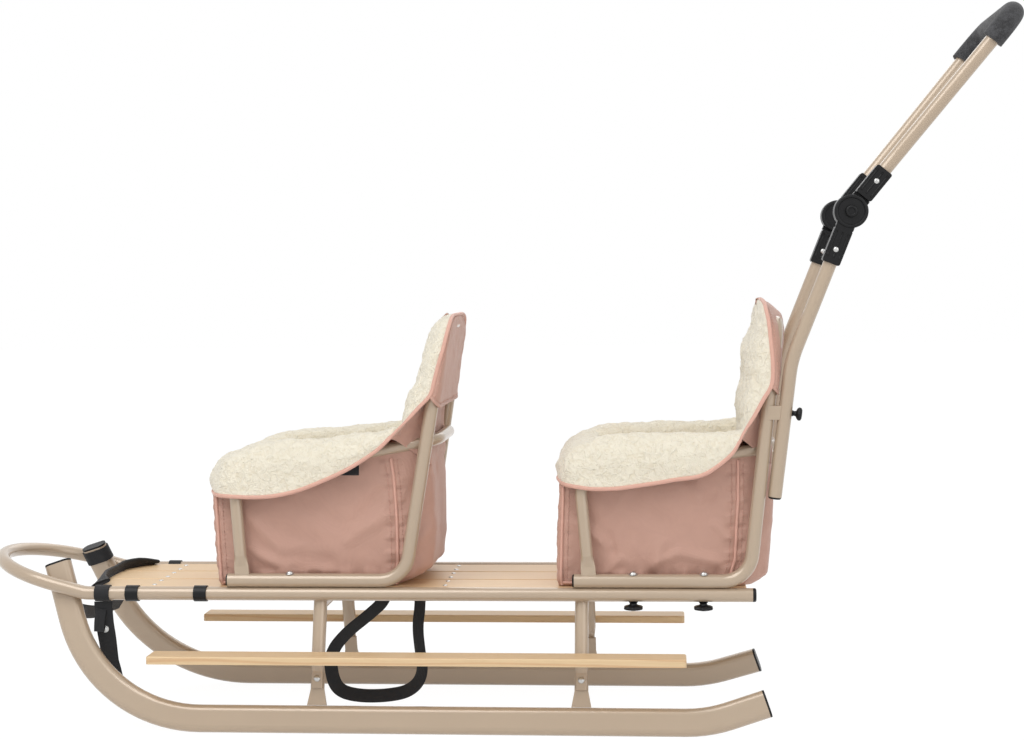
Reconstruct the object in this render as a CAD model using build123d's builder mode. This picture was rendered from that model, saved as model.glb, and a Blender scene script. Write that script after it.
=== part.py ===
"""A child's sled of bent steel tube, with pine slats, two padded seats and a folding push handle.

Millimetres. +X runs to the rear, +Y to the sled's right, +Z up. The origin is on the ground, below the
middle of the sled's length. Stations are measured along X from the foremost point of the deck's front loop.
"""

import os
from math import acos, cos, radians, sin, tan

from build123d import *

# Tubes and the gaps between pieces
tube_r = 10.0
hoop_r = 9.0
gap = 0.3
weld_gap = 0.1
turn_gap = 0.05
cut_overrun = 30.0

# Deck: two side rails joined by a front loop, three slats on cross battens
rail_half_spacing = 118.0
rail_z = 197.0
rail_rear = 1156.0
loop_rise_start = 171.0
loop_rise_deg = 15.0
rise_bend_r = 60.0
rail_plug_length = 5.0
slat_width = 67.5
slat_gap = 4.0
slat_thick = 12.0
slat_sink = 2.0
slat_front = 179.0
slat_rear = 1148.0
slat_corner_r = 8.0
slat_edge_r = 2.5
batten_width = 26.0
batten_thick = 3.0
batten_front = 268.0
batten_middle = 706.0
batten_rear = 1098.0

# Runners: flat-oval tube in planes that lean outward
runner_height = 40.0
runner_thick = 20.0
runner_lean_deg = 18.0
runner_cross = 131.2
runner_cross_z = 203.0
runner_tip_above = 33.4
runner_front_bend_r = 215.0
runner_front_deg = 71.0
runner_rear_bend_start = 1058.0
runner_rear_bend_r = 200.0
runner_rear_deg = 18.4
runner_tail_length = 54.0
runner_cap_thick = 3.0

# Legs: riveted on brackets above the runners, with a cross tube under the deck
leg_front = 523.0
leg_rear = 908.7
leg_top_z = 190.0
rivet_height = 79.0
tongue_width = 16.0
tongue_thick = 6.0
tongue_corner_r = 2.0
tongue_below = 14.0
tongue_above = 10.0
tongue_taper = 16.0
cross_tube_r = 8.0
cross_tube_z = 178.0
bracket_base = 29.0
bracket_top = 20.0
bracket_thick = 3.0
bracket_height = 46.0

# Footboards
board_front = 279.7
board_rear = 1059.7
board_depth = 42.0
board_thick = 11.5
board_z = 110.8
board_corner_r = 4.0

# Black bands round the rails, which hold the slats' cloth edge
band_thick = 1.8
band_width = 19.0
band_front = 243.0
band_rear = 346.0

# Seat frames and hoops, one row a seat: name, front end of the base tube, corner below the back,
# lean of the back from upright, height of the hoop at the back
seat_columns = ("name", "front", "corner", "lean_deg", "hoop_back_z")
seat_table = (
    ("front_seat", 387.5, 650.4, 9.2, 421.0),
    ("rear_seat", 898.3, 1151.4, 6.5, 408.0),
)
seat_bend_r = 43.0
back_top_z = 588.0
back_top_half = 98.0
back_top_bend_r = 38.0
hoop_foot_in = 19.0
hoop_post_lean = 10.0
hoop_front_z = 366.0
hoop_front_half = 108.0
hoop_front_bend_r = 26.0
hoop_rear_in = 13.0
hoop_rear_bend_r = 34.0
hoop_pass_gap = 1.2
hoop_foot_width = 22.0
hoop_foot_thick = 6.0
hoop_foot_corner_r = 2.0
hoop_foot_height = 36.0
hoop_foot_taper = 16.0

# Soft seats: a cloth bag on the slats, a fleece collar over the hoop and a padded back
bag_front_out_low = 22.0
bag_front_out_high = 25.0
bag_rear_out = 39.0
bag_half = 96.0
bag_wall = 12.0
bag_floor = 26.0
bag_back_wall = 43.0
bag_front_z = 346.0
bag_below_hoop = 1.5
collar_half = 126.0
collar_inner_half = 72.0
collar_front_out = 29.0
collar_front_wall = 42.0
collar_low_z = 342.0
collar_low_flat = 104.0
collar_high_z = 408.0
collar_front_drop = 38.0
collar_front_slope = 36.0
collar_over_hoop = 12.0
collar_rear_in = 6.0
collar_round_r = 9.0
pad_half = 112.0
pad_low_half = 92.0
pad_front = 38.0
pad_front_top = 14.0
pad_behind = 4.0
pad_above_hoop = 14.0
pad_hem_above_hoop = 72.0
pad_over_top = 16.0
pad_round_r = 10.0

# Star knobs below the rails, which clamp the rear seat
knob_stem_r = 6.0
knob_stem_length = 6.0
knob_disc_r = 13.5
knob_disc_thick = 6.0
knob_front = 984.0
knob_rear = 1085.0

# Push handle: lower tubes behind the rear seat, two disc hinges and an upper loop with a grip
pusher_low_station = 1188.5
pusher_low_z = 338.0
pusher_bend_station = 1213.0
pusher_bend_z = 535.0
hinge_station = 1297.3
hinge_z = 746.4
pusher_half = 108.0
pusher_bend_r = 160.0
clamp_z = 460.0
clamp_height = 20.0
clamp_width = 15.0
pusher_knob_stem = 8.0
pusher_knob_disc_r = 9.0
hinge_disc_r = 24.0
hinge_thick = 26.0
hinge_pin_r = 5.0
hinge_hub_r = 8.5
hinge_hub_thick = 4.0
sleeve_width = 26.0
sleeve_lower = 79.0
sleeve_upper = 75.0
sleeve_start = 26.5
sleeve_round_r = 3.0
handle_lean_deg = 39.4
handle_length = 358.0
handle_top_half = 140.0
handle_bend_r = 44.0
handle_straight = 95.0
handle_splay_bend_r = 150.0
sleeve_bore_start = 30.0
grip_r = 16.0
grip_leg_length = 10.0

# Webbing: its width and thickness, its wrap on the left rail, and its wraps on the right runner's tip
webbing_width = 22.0
webbing_thick = 1.8
wrap_behind_rise = 27.0
tip_wrap_below = 35.4
tip_wrap_above = 20.6

# Tail: distances behind its wrap, inward of the left rail and below the rail
tail_columns = ("behind", "inward", "below")
tail_route = (
    (0.0, 0.0, 12.5),
    (0.5, 1.5, 39.0),
    (6.5, 11.0, 67.0),
    (17.0, 19.0, 99.0),
    (22.0, 25.0, 131.0),
)

# Loop below the middle slat: station, side, and share of the slat's height above the ground
loop_columns = ("station", "side", "height_share")
loop_route = (
    (606.0, -6.0, 1.0),
    (605.8, -5.8, 0.882),
    (577.0, -4.5, 0.747),
    (541.0, -1.0, 0.602),
    (515.0, 4.0, 0.436),
    (515.5, 7.0, 0.249),
    (526.0, 8.0, 0.125),
    (556.0, 8.0, 0.083),
    (600.0, 5.0, 0.088),
    (640.0, 1.0, 0.135),
    (660.0, -2.0, 0.27),
    (655.0, -4.0, 0.477),
    (652.0, -5.0, 0.664),
    (657.5, -6.0, 0.841),
    (657.0, -6.0, 1.0),
)

# Cross strap: distance behind the runners at its height, share of the way from the middle to a
# runner, and height
cross_columns = ("behind", "side_share", "z")
cross_route = (
    (6.1, -0.993, 168.0),
    (3.4, -0.49, 155.0),
    (3.6, 0.0, 148.0),
    (5.2, 0.479, 147.0),
    (4.4, 0.949, 143.0),
)
route_run_share = 0.45

# Derived places
lean = radians(runner_lean_deg)
runner_half_y0 = (
    rail_half_spacing - (tube_r + runner_thick / 2 + gap) / cos(lean) + runner_cross_z * tan(lean)
)
runner_rest_h = ((runner_height - runner_thick) / 2 * cos(lean) + runner_thick / 2) / cos(lean)
handle_lean = radians(handle_lean_deg)
grip_station = hinge_station + handle_length * sin(handle_lean)
mid_station = (grip_station + grip_r) / 2
slat_top_z = rail_z + tube_r - slat_sink
seat_tube_z = rail_z + 2 * tube_r + weld_gap
parts = {}


def at(station):
    """X of a station."""
    return station - mid_station


def keep(piece, name):
    """Label a finished piece and list it for export."""
    piece.part.label = name
    parts[name] = piece.part


def rod(points, bend_radii, radius):
    """A round bar along straight runs joined by arcs."""
    with BuildPart() as piece:
        with BuildLine() as route:
            FilletPolyline(*points, radius=bend_radii)
        with BuildSketch(Plane(origin=route.line @ 0, z_dir=route.line % 0)):
            Circle(radius)
        sweep(path=route.line)
    return piece


# Runners, each drawn in its leaning plane: local X along the sled, local Y up the lean
def runner_plane(side):
    """The plane of one runner; its origin is on the ground at the sled's middle."""
    up = Vector(0, -side * sin(lean), cos(lean))
    return Plane(origin=(0, side * runner_half_y0, 0), x_dir=(1, 0, 0), z_dir=Vector(1, 0, 0).cross(up))


front_turn = radians(runner_front_deg)
rear_turn = radians(runner_rear_deg)
runner_cross_h = runner_cross_z / cos(lean)
runner_bend_h = runner_rest_h + runner_front_bend_r * (1 - cos(front_turn))
runner_bend_x = at(runner_cross) + (runner_cross_h - runner_bend_h) / tan(front_turn)
runner_flat_x = runner_bend_x + runner_front_bend_r * sin(front_turn)


def front_place(height):
    """Place and turn of the runner's front, at a height along the lean."""
    if height >= runner_bend_h:
        return (at(runner_cross) + (runner_cross_h - height) / tan(front_turn), height), front_turn
    turn = acos(1 - (height - runner_rest_h) / runner_front_bend_r)
    return (runner_flat_x - runner_front_bend_r * sin(turn), height), turn


tip_end, tip_turn = front_place(runner_cross_h + runner_tip_above)
tail_bend_end = (
    at(runner_rear_bend_start) + runner_rear_bend_r * sin(rear_turn),
    runner_rest_h + runner_rear_bend_r * (1 - cos(rear_turn)),
)
tail_end = (
    tail_bend_end[0] + runner_tail_length * cos(rear_turn),
    tail_bend_end[1] + runner_tail_length * sin(rear_turn),
)


def runner_section(side, point, turn):
    """The section's plane at a point of the runner, square to its path."""
    plane = runner_plane(side)
    along = plane.x_dir * cos(turn) + plane.y_dir * sin(turn)
    across = plane.y_dir * cos(turn) - plane.x_dir * sin(turn)
    place = plane.from_local_coords(Vector(point[0], point[1], 0))
    return Plane(origin=place, x_dir=across.cross(along), z_dir=along)


for side, side_name in ((-1, "left"), (1, "right")):
    with BuildPart() as runner:
        with BuildLine(runner_plane(side)) as path:
            Line(tip_end, (runner_bend_x, runner_bend_h))
            ThreePointArc(
                (runner_bend_x, runner_bend_h),
                (
                    runner_flat_x - runner_front_bend_r * sin(front_turn / 2),
                    runner_rest_h + runner_front_bend_r * (1 - cos(front_turn / 2)),
                ),
                (runner_flat_x, runner_rest_h),
            )
            Line((runner_flat_x, runner_rest_h), (at(runner_rear_bend_start), runner_rest_h))
            ThreePointArc(
                (at(runner_rear_bend_start), runner_rest_h),
                (
                    at(runner_rear_bend_start) + runner_rear_bend_r * sin(rear_turn / 2),
                    runner_rest_h + runner_rear_bend_r * (1 - cos(rear_turn / 2)),
                ),
                tail_bend_end,
            )
            Line(tail_bend_end, tail_end)
        with BuildSketch(runner_section(side, tip_end, -tip_turn)):
            SlotOverall(runner_height, runner_thick, rotation=90)
        sweep(path=path.line)
    keep(runner, f"runner_{side_name}")

with BuildPart() as runner_caps:
    for side in (-1, 1):
        for end, turn, outward in ((tip_end, -tip_turn, -1), (tail_end, rear_turn, 1)):
            with BuildSketch(runner_section(side, end, turn)):
                SlotOverall(runner_height, runner_thick, rotation=90)
            extrude(amount=outward * runner_cap_thick)
keep(runner_caps, "runner_caps")

# Deck rails and front loop, one bent tube: flat along the deck, rising to the front
rise = radians(loop_rise_deg)
loop_r = rail_half_spacing
rise_plane = Plane(
    origin=(at(loop_rise_start), 0, rail_z), x_dir=(-cos(rise), 0, sin(rise)), z_dir=(sin(rise), 0, cos(rise))
)
loop_reach = (loop_rise_start - tube_r) / cos(rise) - loop_r
rise_tangent = rise_bend_r * tan(rise / 2)
with BuildPart() as deck_rail_loop:
    with BuildLine() as loop_path:
        rail_ends = []
        for side in (-1, 1):
            foot = Vector(at(loop_rise_start) + rise_tangent, side * rail_half_spacing, rail_z)
            lift = rise_plane.from_local_coords(Vector(rise_tangent, -side * rail_half_spacing, 0))
            Line((at(rail_rear), side * rail_half_spacing, rail_z), foot)
            TangentArc(foot, lift, tangent=(-1, 0, 0))
            top = rise_plane.from_local_coords(Vector(loop_reach, -side * rail_half_spacing, 0))
            Line(lift, top)
            rail_ends.append(top)
        nose = rise_plane.from_local_coords(Vector(loop_reach + loop_r, 0, 0))
        ThreePointArc(rail_ends[0], nose, rail_ends[1])
    rail_start = (at(rail_rear), -rail_half_spacing, rail_z)
    with BuildSketch(Plane(origin=rail_start, z_dir=(-1, 0, 0))):
        Circle(tube_r)
    sweep(path=loop_path.wire())
keep(deck_rail_loop, "deck_rail_loop")

with BuildPart() as rail_plugs:
    with BuildSketch(Plane(origin=(at(rail_rear), 0, rail_z), x_dir=(0, 1, 0), z_dir=(1, 0, 0))):
        with GridLocations(2 * rail_half_spacing, 0, 2, 1):
            Circle(tube_r)
    extrude(amount=rail_plug_length)
    fillet(rail_plugs.edges().group_by(Axis.X)[-1], rail_plug_length / 2)
keep(rail_plugs, "rail_plugs")

# Slats and the battens that carry them between the rails
slat_low_z = slat_top_z - slat_thick
slat_length = slat_rear - slat_front
slat_rows = (("left", -1), ("middle", 0), ("right", 1))
for slat_name, row in slat_rows:
    with BuildPart() as slat:
        with BuildSketch(Plane.XY.offset(slat_low_z)):
            with Locations((at(slat_front + slat_length / 2), row * (slat_width + slat_gap))):
                RectangleRounded(slat_length, slat_width, slat_corner_r)
        extrude(amount=slat_thick)
        fillet(slat.edges().group_by(Axis.Z)[-1], slat_edge_r)
    keep(slat, f"slat_{slat_name}")

batten_length = 2 * (rail_half_spacing - tube_r - gap)
batten_stations = (batten_front, leg_front, batten_middle, leg_rear, batten_rear)
with BuildPart() as deck_battens:
    with BuildSketch(Plane.XY.offset(slat_low_z - weld_gap - batten_thick)):
        with Locations(*[(at(station), 0) for station in batten_stations]):
            Rectangle(batten_width, batten_length)
    extrude(amount=batten_thick)
keep(deck_battens, "deck_battens")

# Legs: two round posts with flattened ends and a cross tube, coped to the rails
leg_out = bracket_thick / 2 + tongue_thick / 2 + weld_gap
leg_rows = (("front", leg_front), ("rear", leg_rear))
for leg_name, leg_station in leg_rows:
    with BuildPart() as legs:
        for side in (-1, 1):
            plane = runner_plane(side)
            up = plane.y_dir
            out = Vector(0, side * cos(lean), sin(lean))
            rivet = plane.from_local_coords(Vector(at(leg_station), rivet_height, 0)) + out * leg_out
            leg_length = (leg_top_z - rivet.Z) / cos(lean)
            foot = Plane(origin=rivet - up * tongue_below, x_dir=(1, 0, 0), z_dir=up)
            with BuildSketch(foot):
                RectangleRounded(tongue_width, tongue_thick, tongue_corner_r)
            extrude(amount=tongue_below + tongue_above)
            with BuildSketch(foot.offset(tongue_below + tongue_above)):
                RectangleRounded(tongue_width, tongue_thick, tongue_corner_r)
            with BuildSketch(foot.offset(tongue_below + tongue_above + tongue_taper)):
                Circle(tube_r)
            loft()
            with BuildSketch(foot.offset(tongue_below + tongue_above + tongue_taper)):
                Circle(tube_r)
            extrude(amount=leg_length - tongue_above - tongue_taper)
        cross_half = rivet.Y * side - (cross_tube_z - rivet.Z) * tan(lean)
        with BuildSketch(Plane(origin=(at(leg_station), -cross_half, cross_tube_z), z_dir=(0, 1, 0))):
            Circle(cross_tube_r)
        extrude(amount=2 * cross_half)
        for side in (-1, 1):
            rail_cut = (at(leg_station) - cut_overrun, side * rail_half_spacing, rail_z)
            with BuildSketch(Plane(origin=rail_cut, z_dir=(1, 0, 0))):
                Circle(tube_r + weld_gap)
            extrude(amount=2 * cut_overrun, mode=Mode.SUBTRACT)
        with BuildSketch(Plane.XY.offset(leg_top_z - 2 * weld_gap)):
            with Locations((at(leg_station), 0)):
                Rectangle(2 * cut_overrun, 2 * rail_half_spacing)
        extrude(amount=cut_overrun, mode=Mode.SUBTRACT)
    keep(legs, f"legs_{leg_name}")

bracket_low_h = runner_rest_h + runner_height / 2 + gap
with BuildPart() as leg_brackets:
    for side in (-1, 1):
        for leg_name, leg_station in leg_rows:
            with BuildSketch(runner_plane(side)):
                with BuildLine():
                    x, low, high = at(leg_station), bracket_low_h, bracket_low_h + bracket_height
                    mid = low + bracket_height / 2
                    Polyline(
                        (x - bracket_base / 2, low),
                        (x + bracket_base / 2, low),
                        (x + bracket_top / 2, mid),
                        (x + bracket_top / 2, high),
                        (x - bracket_top / 2, high),
                        (x - bracket_top / 2, mid),
                        close=True,
                    )
                make_face()
            extrude(amount=bracket_thick / 2, both=True)
keep(leg_brackets, "leg_brackets")

# Footboards, seated against the legs
board_low_z = board_z - board_thick / 2
board_in = runner_half_y0 + (leg_out + tube_r) / cos(lean) - board_low_z * tan(lean) + gap
for side, side_name in ((-1, "left"), (1, "right")):
    with BuildPart() as board:
        with BuildSketch(Plane.XY.offset(board_low_z)):
            with Locations((at((board_front + board_rear) / 2), side * (board_in + board_depth / 2))):
                RectangleRounded(board_rear - board_front, board_depth, board_corner_r)
        extrude(amount=board_thick)
        fillet(board.edges().group_by(Axis.Z)[-1], slat_edge_r)
    keep(board, f"footboard_{side_name}")

# Black bands round the rails
with BuildPart() as rail_bands:
    for side in (-1, 1):
        for band_station in (band_front, band_rear):
            start = (at(band_station) - band_width / 2, side * rail_half_spacing, rail_z)
            with BuildSketch(Plane(origin=start, z_dir=(1, 0, 0))):
                Circle(tube_r + weld_gap + band_thick)
                Circle(tube_r + weld_gap, mode=Mode.SUBTRACT)
            extrude(amount=band_width)
keep(rail_bands, "rail_bands")


def side_route(points):
    """A route drawn for the left side, crossed over to the right side."""
    left = [(at(s), -half, z) for s, half, z in points]
    return left + [(x, -y, z) for x, y, z in reversed(left)]


# Seats, one pass a seat
frame_routes = {}
for row in seat_table:
    seat = dict(zip(seat_columns, row))
    seat_lean = radians(seat["lean_deg"])
    back_top_station = seat["corner"] + (back_top_z - seat_tube_z) * tan(seat_lean)
    frame_route = side_route(
        (
            (seat["front"], rail_half_spacing, seat_tube_z),
            (seat["corner"], rail_half_spacing, seat_tube_z),
            (back_top_station, back_top_half, back_top_z),
        )
    )
    frame_bends = [seat_bend_r, back_top_bend_r, back_top_bend_r, seat_bend_r]
    keep(rod(frame_route, frame_bends, tube_r), f"{seat['name']}_frame")
    frame_routes[seat["name"]] = frame_route

    back_in = (rail_half_spacing - back_top_half) / (back_top_z - seat_tube_z)
    hoop_z = seat["hoop_back_z"]
    back_station = seat["corner"] + (hoop_z - seat_tube_z) * tan(seat_lean)
    hoop_front = seat["front"] + hoop_foot_in - hoop_post_lean
    pass_half = rail_half_spacing - (hoop_z - seat_tube_z) * back_in - tube_r - hoop_r - hoop_pass_gap
    arm_in = (hoop_front_half - pass_half) / (back_station - hoop_front)
    hoop_route = side_route(
        (
            (seat["front"] + hoop_foot_in, rail_half_spacing, seat_tube_z + hoop_foot_height),
            (hoop_front, hoop_front_half, hoop_front_z),
            (back_station + hoop_rear_in, pass_half - arm_in * hoop_rear_in, hoop_z),
        )
    )
    hoop_bends = [hoop_front_bend_r, hoop_rear_bend_r, hoop_rear_bend_r, hoop_front_bend_r]
    hoop_rod = rod(hoop_route, hoop_bends, hoop_r)
    frame_weld = rod(frame_route, frame_bends, tube_r + weld_gap)
    with BuildPart() as hoop:
        add(hoop_rod.part)
        for foot_end, post_top in ((hoop_route[0], hoop_route[1]), (hoop_route[-1], hoop_route[-2])):
            foot = Plane(origin=foot_end, x_dir=(1, 0, 0), z_dir=Vector(foot_end) - Vector(post_top))
            with BuildSketch(foot):
                Circle(hoop_r)
            with BuildSketch(foot.offset(hoop_foot_taper)):
                RectangleRounded(hoop_foot_width, hoop_foot_thick, hoop_foot_corner_r)
            loft()
            with BuildSketch(foot.offset(hoop_foot_taper)):
                RectangleRounded(hoop_foot_width, hoop_foot_thick, hoop_foot_corner_r)
            extrude(amount=hoop_foot_height - hoop_foot_taper)
        add(frame_weld.part, mode=Mode.SUBTRACT)
    keep(hoop, f"{seat['name']}_hoop")

    # The clear space that the frame and the hoop need inside the soft pieces
    frame_room = rod(frame_route, frame_bends, tube_r + gap)
    hoop_room = rod(hoop_route, hoop_bends, hoop_r + gap)

    # The bag, open at the top, with a thick floor and back
    bag_low_z = slat_top_z + gap
    bag_high_z = hoop_z - hoop_r - bag_below_hoop
    bag_rear = at(seat["corner"] + bag_rear_out)
    with BuildPart() as bag:
        with BuildSketch(Plane.XZ):
            with BuildLine():
                Polyline(
                    (at(seat["front"] - bag_front_out_low), bag_low_z),
                    (bag_rear, bag_low_z),
                    (bag_rear, bag_high_z),
                    (at(seat["front"] - bag_front_out_high), bag_front_z),
                    close=True,
                )
            make_face()
        extrude(amount=bag_half, both=True)
        fillet(bag.edges().filter_by(Axis.Y).group_by(Axis.Z)[0], bag_wall)
        room_front = at(seat["front"] + bag_wall)
        room_rear = bag_rear - bag_back_wall
        with BuildSketch(Plane.XY.offset(bag_low_z + bag_floor)):
            with Locations(((room_front + room_rear) / 2, 0)):
                Rectangle(room_rear - room_front, 2 * (bag_half - bag_wall))
        extrude(amount=hoop_z, mode=Mode.SUBTRACT)
    keep(bag, f"{seat['name']}_bag")

    # The fleece collar: two side rolls and a front roll that hold the hoop
    collar_front = at(seat["front"] - collar_front_out)
    collar_rear = at(seat["corner"] - collar_rear_in)
    collar_back_low = hoop_z - hoop_r
    collar_back_high = hoop_z + collar_over_hoop
    with BuildPart() as collar:
        with BuildSketch(Plane.XZ):
            with BuildLine():
                Polyline(
                    (collar_front, collar_low_z),
                    (collar_front + collar_low_flat, collar_low_z),
                    (collar_rear, collar_back_low),
                    (collar_rear, collar_back_high),
                    (collar_front + collar_front_slope, collar_high_z),
                    (collar_front, collar_high_z - collar_front_drop),
                    close=True,
                )
            make_face()
        extrude(amount=collar_half, both=True)
        fillet(collar.edges().filter_by(Axis.Y), collar_round_r)
        mouth_front = collar_front + collar_front_wall
        mouth_rear = collar_rear + cut_overrun
        with BuildSketch(Plane.XY):
            with Locations(((mouth_front + mouth_rear) / 2, 0)):
                Rectangle(mouth_rear - mouth_front, 2 * collar_inner_half)
        extrude(amount=2 * hoop_z, mode=Mode.SUBTRACT)
        with BuildSketch(Plane.XZ):
            with BuildLine():
                Polyline(
                    (bag_rear, bag_low_z),
                    (bag_rear, bag_high_z + gap),
                    (at(seat["front"] - bag_front_out_high) - gap, bag_front_z + gap),
                    (at(seat["front"] - bag_front_out_high) - gap, bag_low_z),
                    close=True,
                )
            make_face()
        extrude(amount=bag_half + gap, both=True, mode=Mode.SUBTRACT)
        add(hoop_room.part, mode=Mode.SUBTRACT)
        add(frame_room.part, mode=Mode.SUBTRACT)
    keep(collar, f"{seat['name']}_collar")

    # The padded back: thick in front of the tubes, and a pocket over their upper ends
    back_x = at(seat["corner"])
    back_plane = Plane(
        origin=(back_x, 0, seat_tube_z), x_dir=(-cos(seat_lean), 0, sin(seat_lean)), z_dir=(0, 1, 0)
    )
    pad_low = (hoop_z + pad_above_hoop - seat_tube_z) / cos(seat_lean)
    pad_hem = (hoop_z + pad_hem_above_hoop - seat_tube_z) / cos(seat_lean)
    pad_high = (back_top_z - seat_tube_z) / cos(seat_lean) + pad_over_top
    with BuildPart() as pad:
        with BuildSketch(back_plane):
            with BuildLine():
                Polyline(
                    (pad_front, pad_hem),
                    (pad_front, (pad_hem + pad_high) / 2),
                    (pad_front_top, pad_high),
                    (-tube_r - pad_behind, pad_high),
                    (-tube_r - pad_behind, pad_hem),
                    close=True,
                )
            make_face()
        extrude(amount=pad_half, both=True)
        fillet(pad.edges().filter_by(Axis.Y), pad_round_r)
        with BuildSketch(back_plane):
            with BuildLine():
                Polyline(
                    (pad_front, pad_low),
                    (pad_front, pad_hem + pad_round_r),
                    (tube_r + gap, pad_hem + pad_round_r),
                    (tube_r + gap, pad_low),
                    close=True,
                )
            make_face()
        extrude(amount=pad_low_half, both=True)
        add(frame_room.part, mode=Mode.SUBTRACT)
        add(hoop_room.part, mode=Mode.SUBTRACT)
    keep(pad, f"{seat['name']}_back_pad")


def star_knob(place, stem_length, disc_r):
    """A stem and a disc, drawn outward from a plane."""
    with BuildPart() as knob:
        with BuildSketch(place):
            Circle(knob_stem_r)
        extrude(amount=stem_length)
        with BuildSketch(place.offset(stem_length)):
            Circle(disc_r)
        extrude(amount=knob_disc_thick)
    return knob.part


# Star knobs below the rails
knobs = []
for side in (-1, 1):
    for knob_station in (knob_front, knob_rear):
        top = (at(knob_station), side * rail_half_spacing, rail_z - tube_r - weld_gap)
        knobs.append(star_knob(Plane(origin=top, z_dir=(0, 0, -1)), knob_stem_length, knob_disc_r))
with BuildPart() as seat_knobs:
    add(knobs)
keep(seat_knobs, "seat_knobs")

# Push handle: its lower tubes, from behind the rear seat up into the hinges
pusher_low = Vector(at(pusher_low_station), 0, pusher_low_z)
pusher_bend = Vector(at(pusher_bend_station), 0, pusher_bend_z)
hinge_mid = Vector(at(hinge_station), 0, hinge_z)
lower_run = (pusher_bend - hinge_mid).normalized()
upper_run = Vector(sin(handle_lean), 0, cos(handle_lean))
for side, side_name in ((-1, "left"), (1, "right")):
    out = Vector(0, side * pusher_half, 0)
    pusher_route = (pusher_low + out, pusher_bend + out, hinge_mid + out + lower_run * sleeve_bore_start)
    keep(rod(pusher_route, pusher_bend_r, tube_r), f"pusher_tube_{side_name}")

# Clamp blocks between the rear seat's back tubes and the pusher, and their knobs
rear_seat = dict(zip(seat_columns, seat_table[-1]))
pusher_run = (pusher_bend - pusher_low).normalized()
pusher_out = Vector(pusher_run.Z, 0, -pusher_run.X)
pusher_at_clamp = pusher_low + pusher_run * ((clamp_z - pusher_low_z) / pusher_run.Z)
back_at_clamp = at(rear_seat["corner"]) + (clamp_z - seat_tube_z) * tan(radians(rear_seat["lean_deg"]))
clamp_rooms = [rod(frame_routes[rear_seat["name"]], frame_bends, tube_r + weld_gap).part]
knobs = []
for side in (-1, 1):
    out = Vector(0, side * pusher_half, 0)
    pusher_route = (pusher_low + out, pusher_bend + out, hinge_mid + out)
    clamp_rooms.append(rod(pusher_route, pusher_bend_r, tube_r + weld_gap).part)
    start = pusher_at_clamp + out + pusher_out * (tube_r + weld_gap)
    knobs.append(star_knob(Plane(origin=start, z_dir=pusher_out), pusher_knob_stem, pusher_knob_disc_r))
with BuildPart() as pusher_clamps:
    with BuildSketch(Plane.XZ):
        with Locations(((back_at_clamp + pusher_at_clamp.X) / 2, clamp_z)):
            Rectangle(pusher_at_clamp.X - back_at_clamp, clamp_height)
    extrude(amount=pusher_half + clamp_width / 2, both=True)
    with BuildSketch(Plane.XZ):
        with Locations((back_at_clamp, clamp_z)):
            Rectangle(4 * (pusher_at_clamp.X - back_at_clamp), 2 * clamp_height)
    extrude(amount=pusher_half - clamp_width / 2, both=True, mode=Mode.SUBTRACT)
    add(clamp_rooms, mode=Mode.SUBTRACT)
keep(pusher_clamps, "pusher_clamps")

with BuildPart() as pusher_knobs:
    add(knobs)
keep(pusher_knobs, "pusher_knobs")


def hinge_half(side, run, sleeve_end, near, far):
    """One half of a disc hinge: its disc lies from near to far of the tube's centre plane."""
    outward = Vector(0, side, 0)
    centre = hinge_mid + outward * pusher_half
    sheet = Plane(origin=centre + outward * near, x_dir=run, z_dir=outward)
    with BuildPart() as half:
        with BuildSketch(sheet):
            Circle(hinge_disc_r)
            with Locations((sleeve_start / 2, 0)):
                Rectangle(sleeve_start, sleeve_width)
        extrude(amount=far - near)
        with BuildSketch(Plane(origin=centre - outward * hinge_thick / 2, x_dir=run, z_dir=outward)):
            with Locations(((sleeve_start + sleeve_end) / 2, 0)):
                RectangleRounded(sleeve_end - sleeve_start, sleeve_width, sleeve_round_r)
        extrude(amount=hinge_thick)
        with BuildSketch(Plane(origin=centre + run * (sleeve_bore_start - gap), z_dir=run)):
            Circle(tube_r + gap)
        extrude(amount=sleeve_end, mode=Mode.SUBTRACT)
    return half


# Hinges: the outer halves stay with the pusher, the inner halves carry the pin and turn
hinge_half_thick = hinge_thick / 2
for side, side_name in ((-1, "left"), (1, "right")):
    outward = Vector(0, side, 0)
    centre = hinge_mid + outward * pusher_half
    lower = hinge_half(side, lower_run, sleeve_lower, turn_gap, hinge_half_thick)
    with BuildPart() as hinge_lower:
        add(lower.part)
        with BuildSketch(Plane(origin=centre, z_dir=outward)):
            Circle(hinge_pin_r + turn_gap)
        extrude(amount=hinge_thick, mode=Mode.SUBTRACT)
    keep(hinge_lower, f"hinge_lower_{side_name}")

    upper = hinge_half(side, upper_run, sleeve_upper, -hinge_half_thick, -turn_gap)
    with BuildPart() as hinge_upper:
        add(upper.part)
        with BuildSketch(Plane(origin=centre - outward * hinge_half_thick / 2, z_dir=outward)):
            Circle(hinge_pin_r)
        extrude(amount=hinge_half_thick / 2 + hinge_half_thick + gap)
        with BuildSketch(Plane(origin=centre + outward * (hinge_half_thick + gap), z_dir=outward)):
            Circle(hinge_hub_r)
        extrude(amount=hinge_hub_thick)
    keep(hinge_upper, f"hinge_upper_{side_name}")

# Handle loop and the grip that covers its cross bar and corners
def handle_point(run, half):
    """A point of the handle's left leg, by its distance from the hinges and its half width."""
    return hinge_mid + upper_run * run - Vector(0, half, 0)


def crossed(points):
    """Points of the left side, followed by the same points on the right side."""
    return points + [Vector(p.X, -p.Y, p.Z) for p in reversed(points)]


handle_left = [
    handle_point(sleeve_bore_start, pusher_half),
    handle_point(handle_straight, pusher_half),
    handle_point(handle_length, handle_top_half),
]
handle_bends = [handle_splay_bend_r, handle_bend_r, handle_bend_r, handle_splay_bend_r]
keep(rod(crossed(handle_left), handle_bends, tube_r), "handle_tube")

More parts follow.
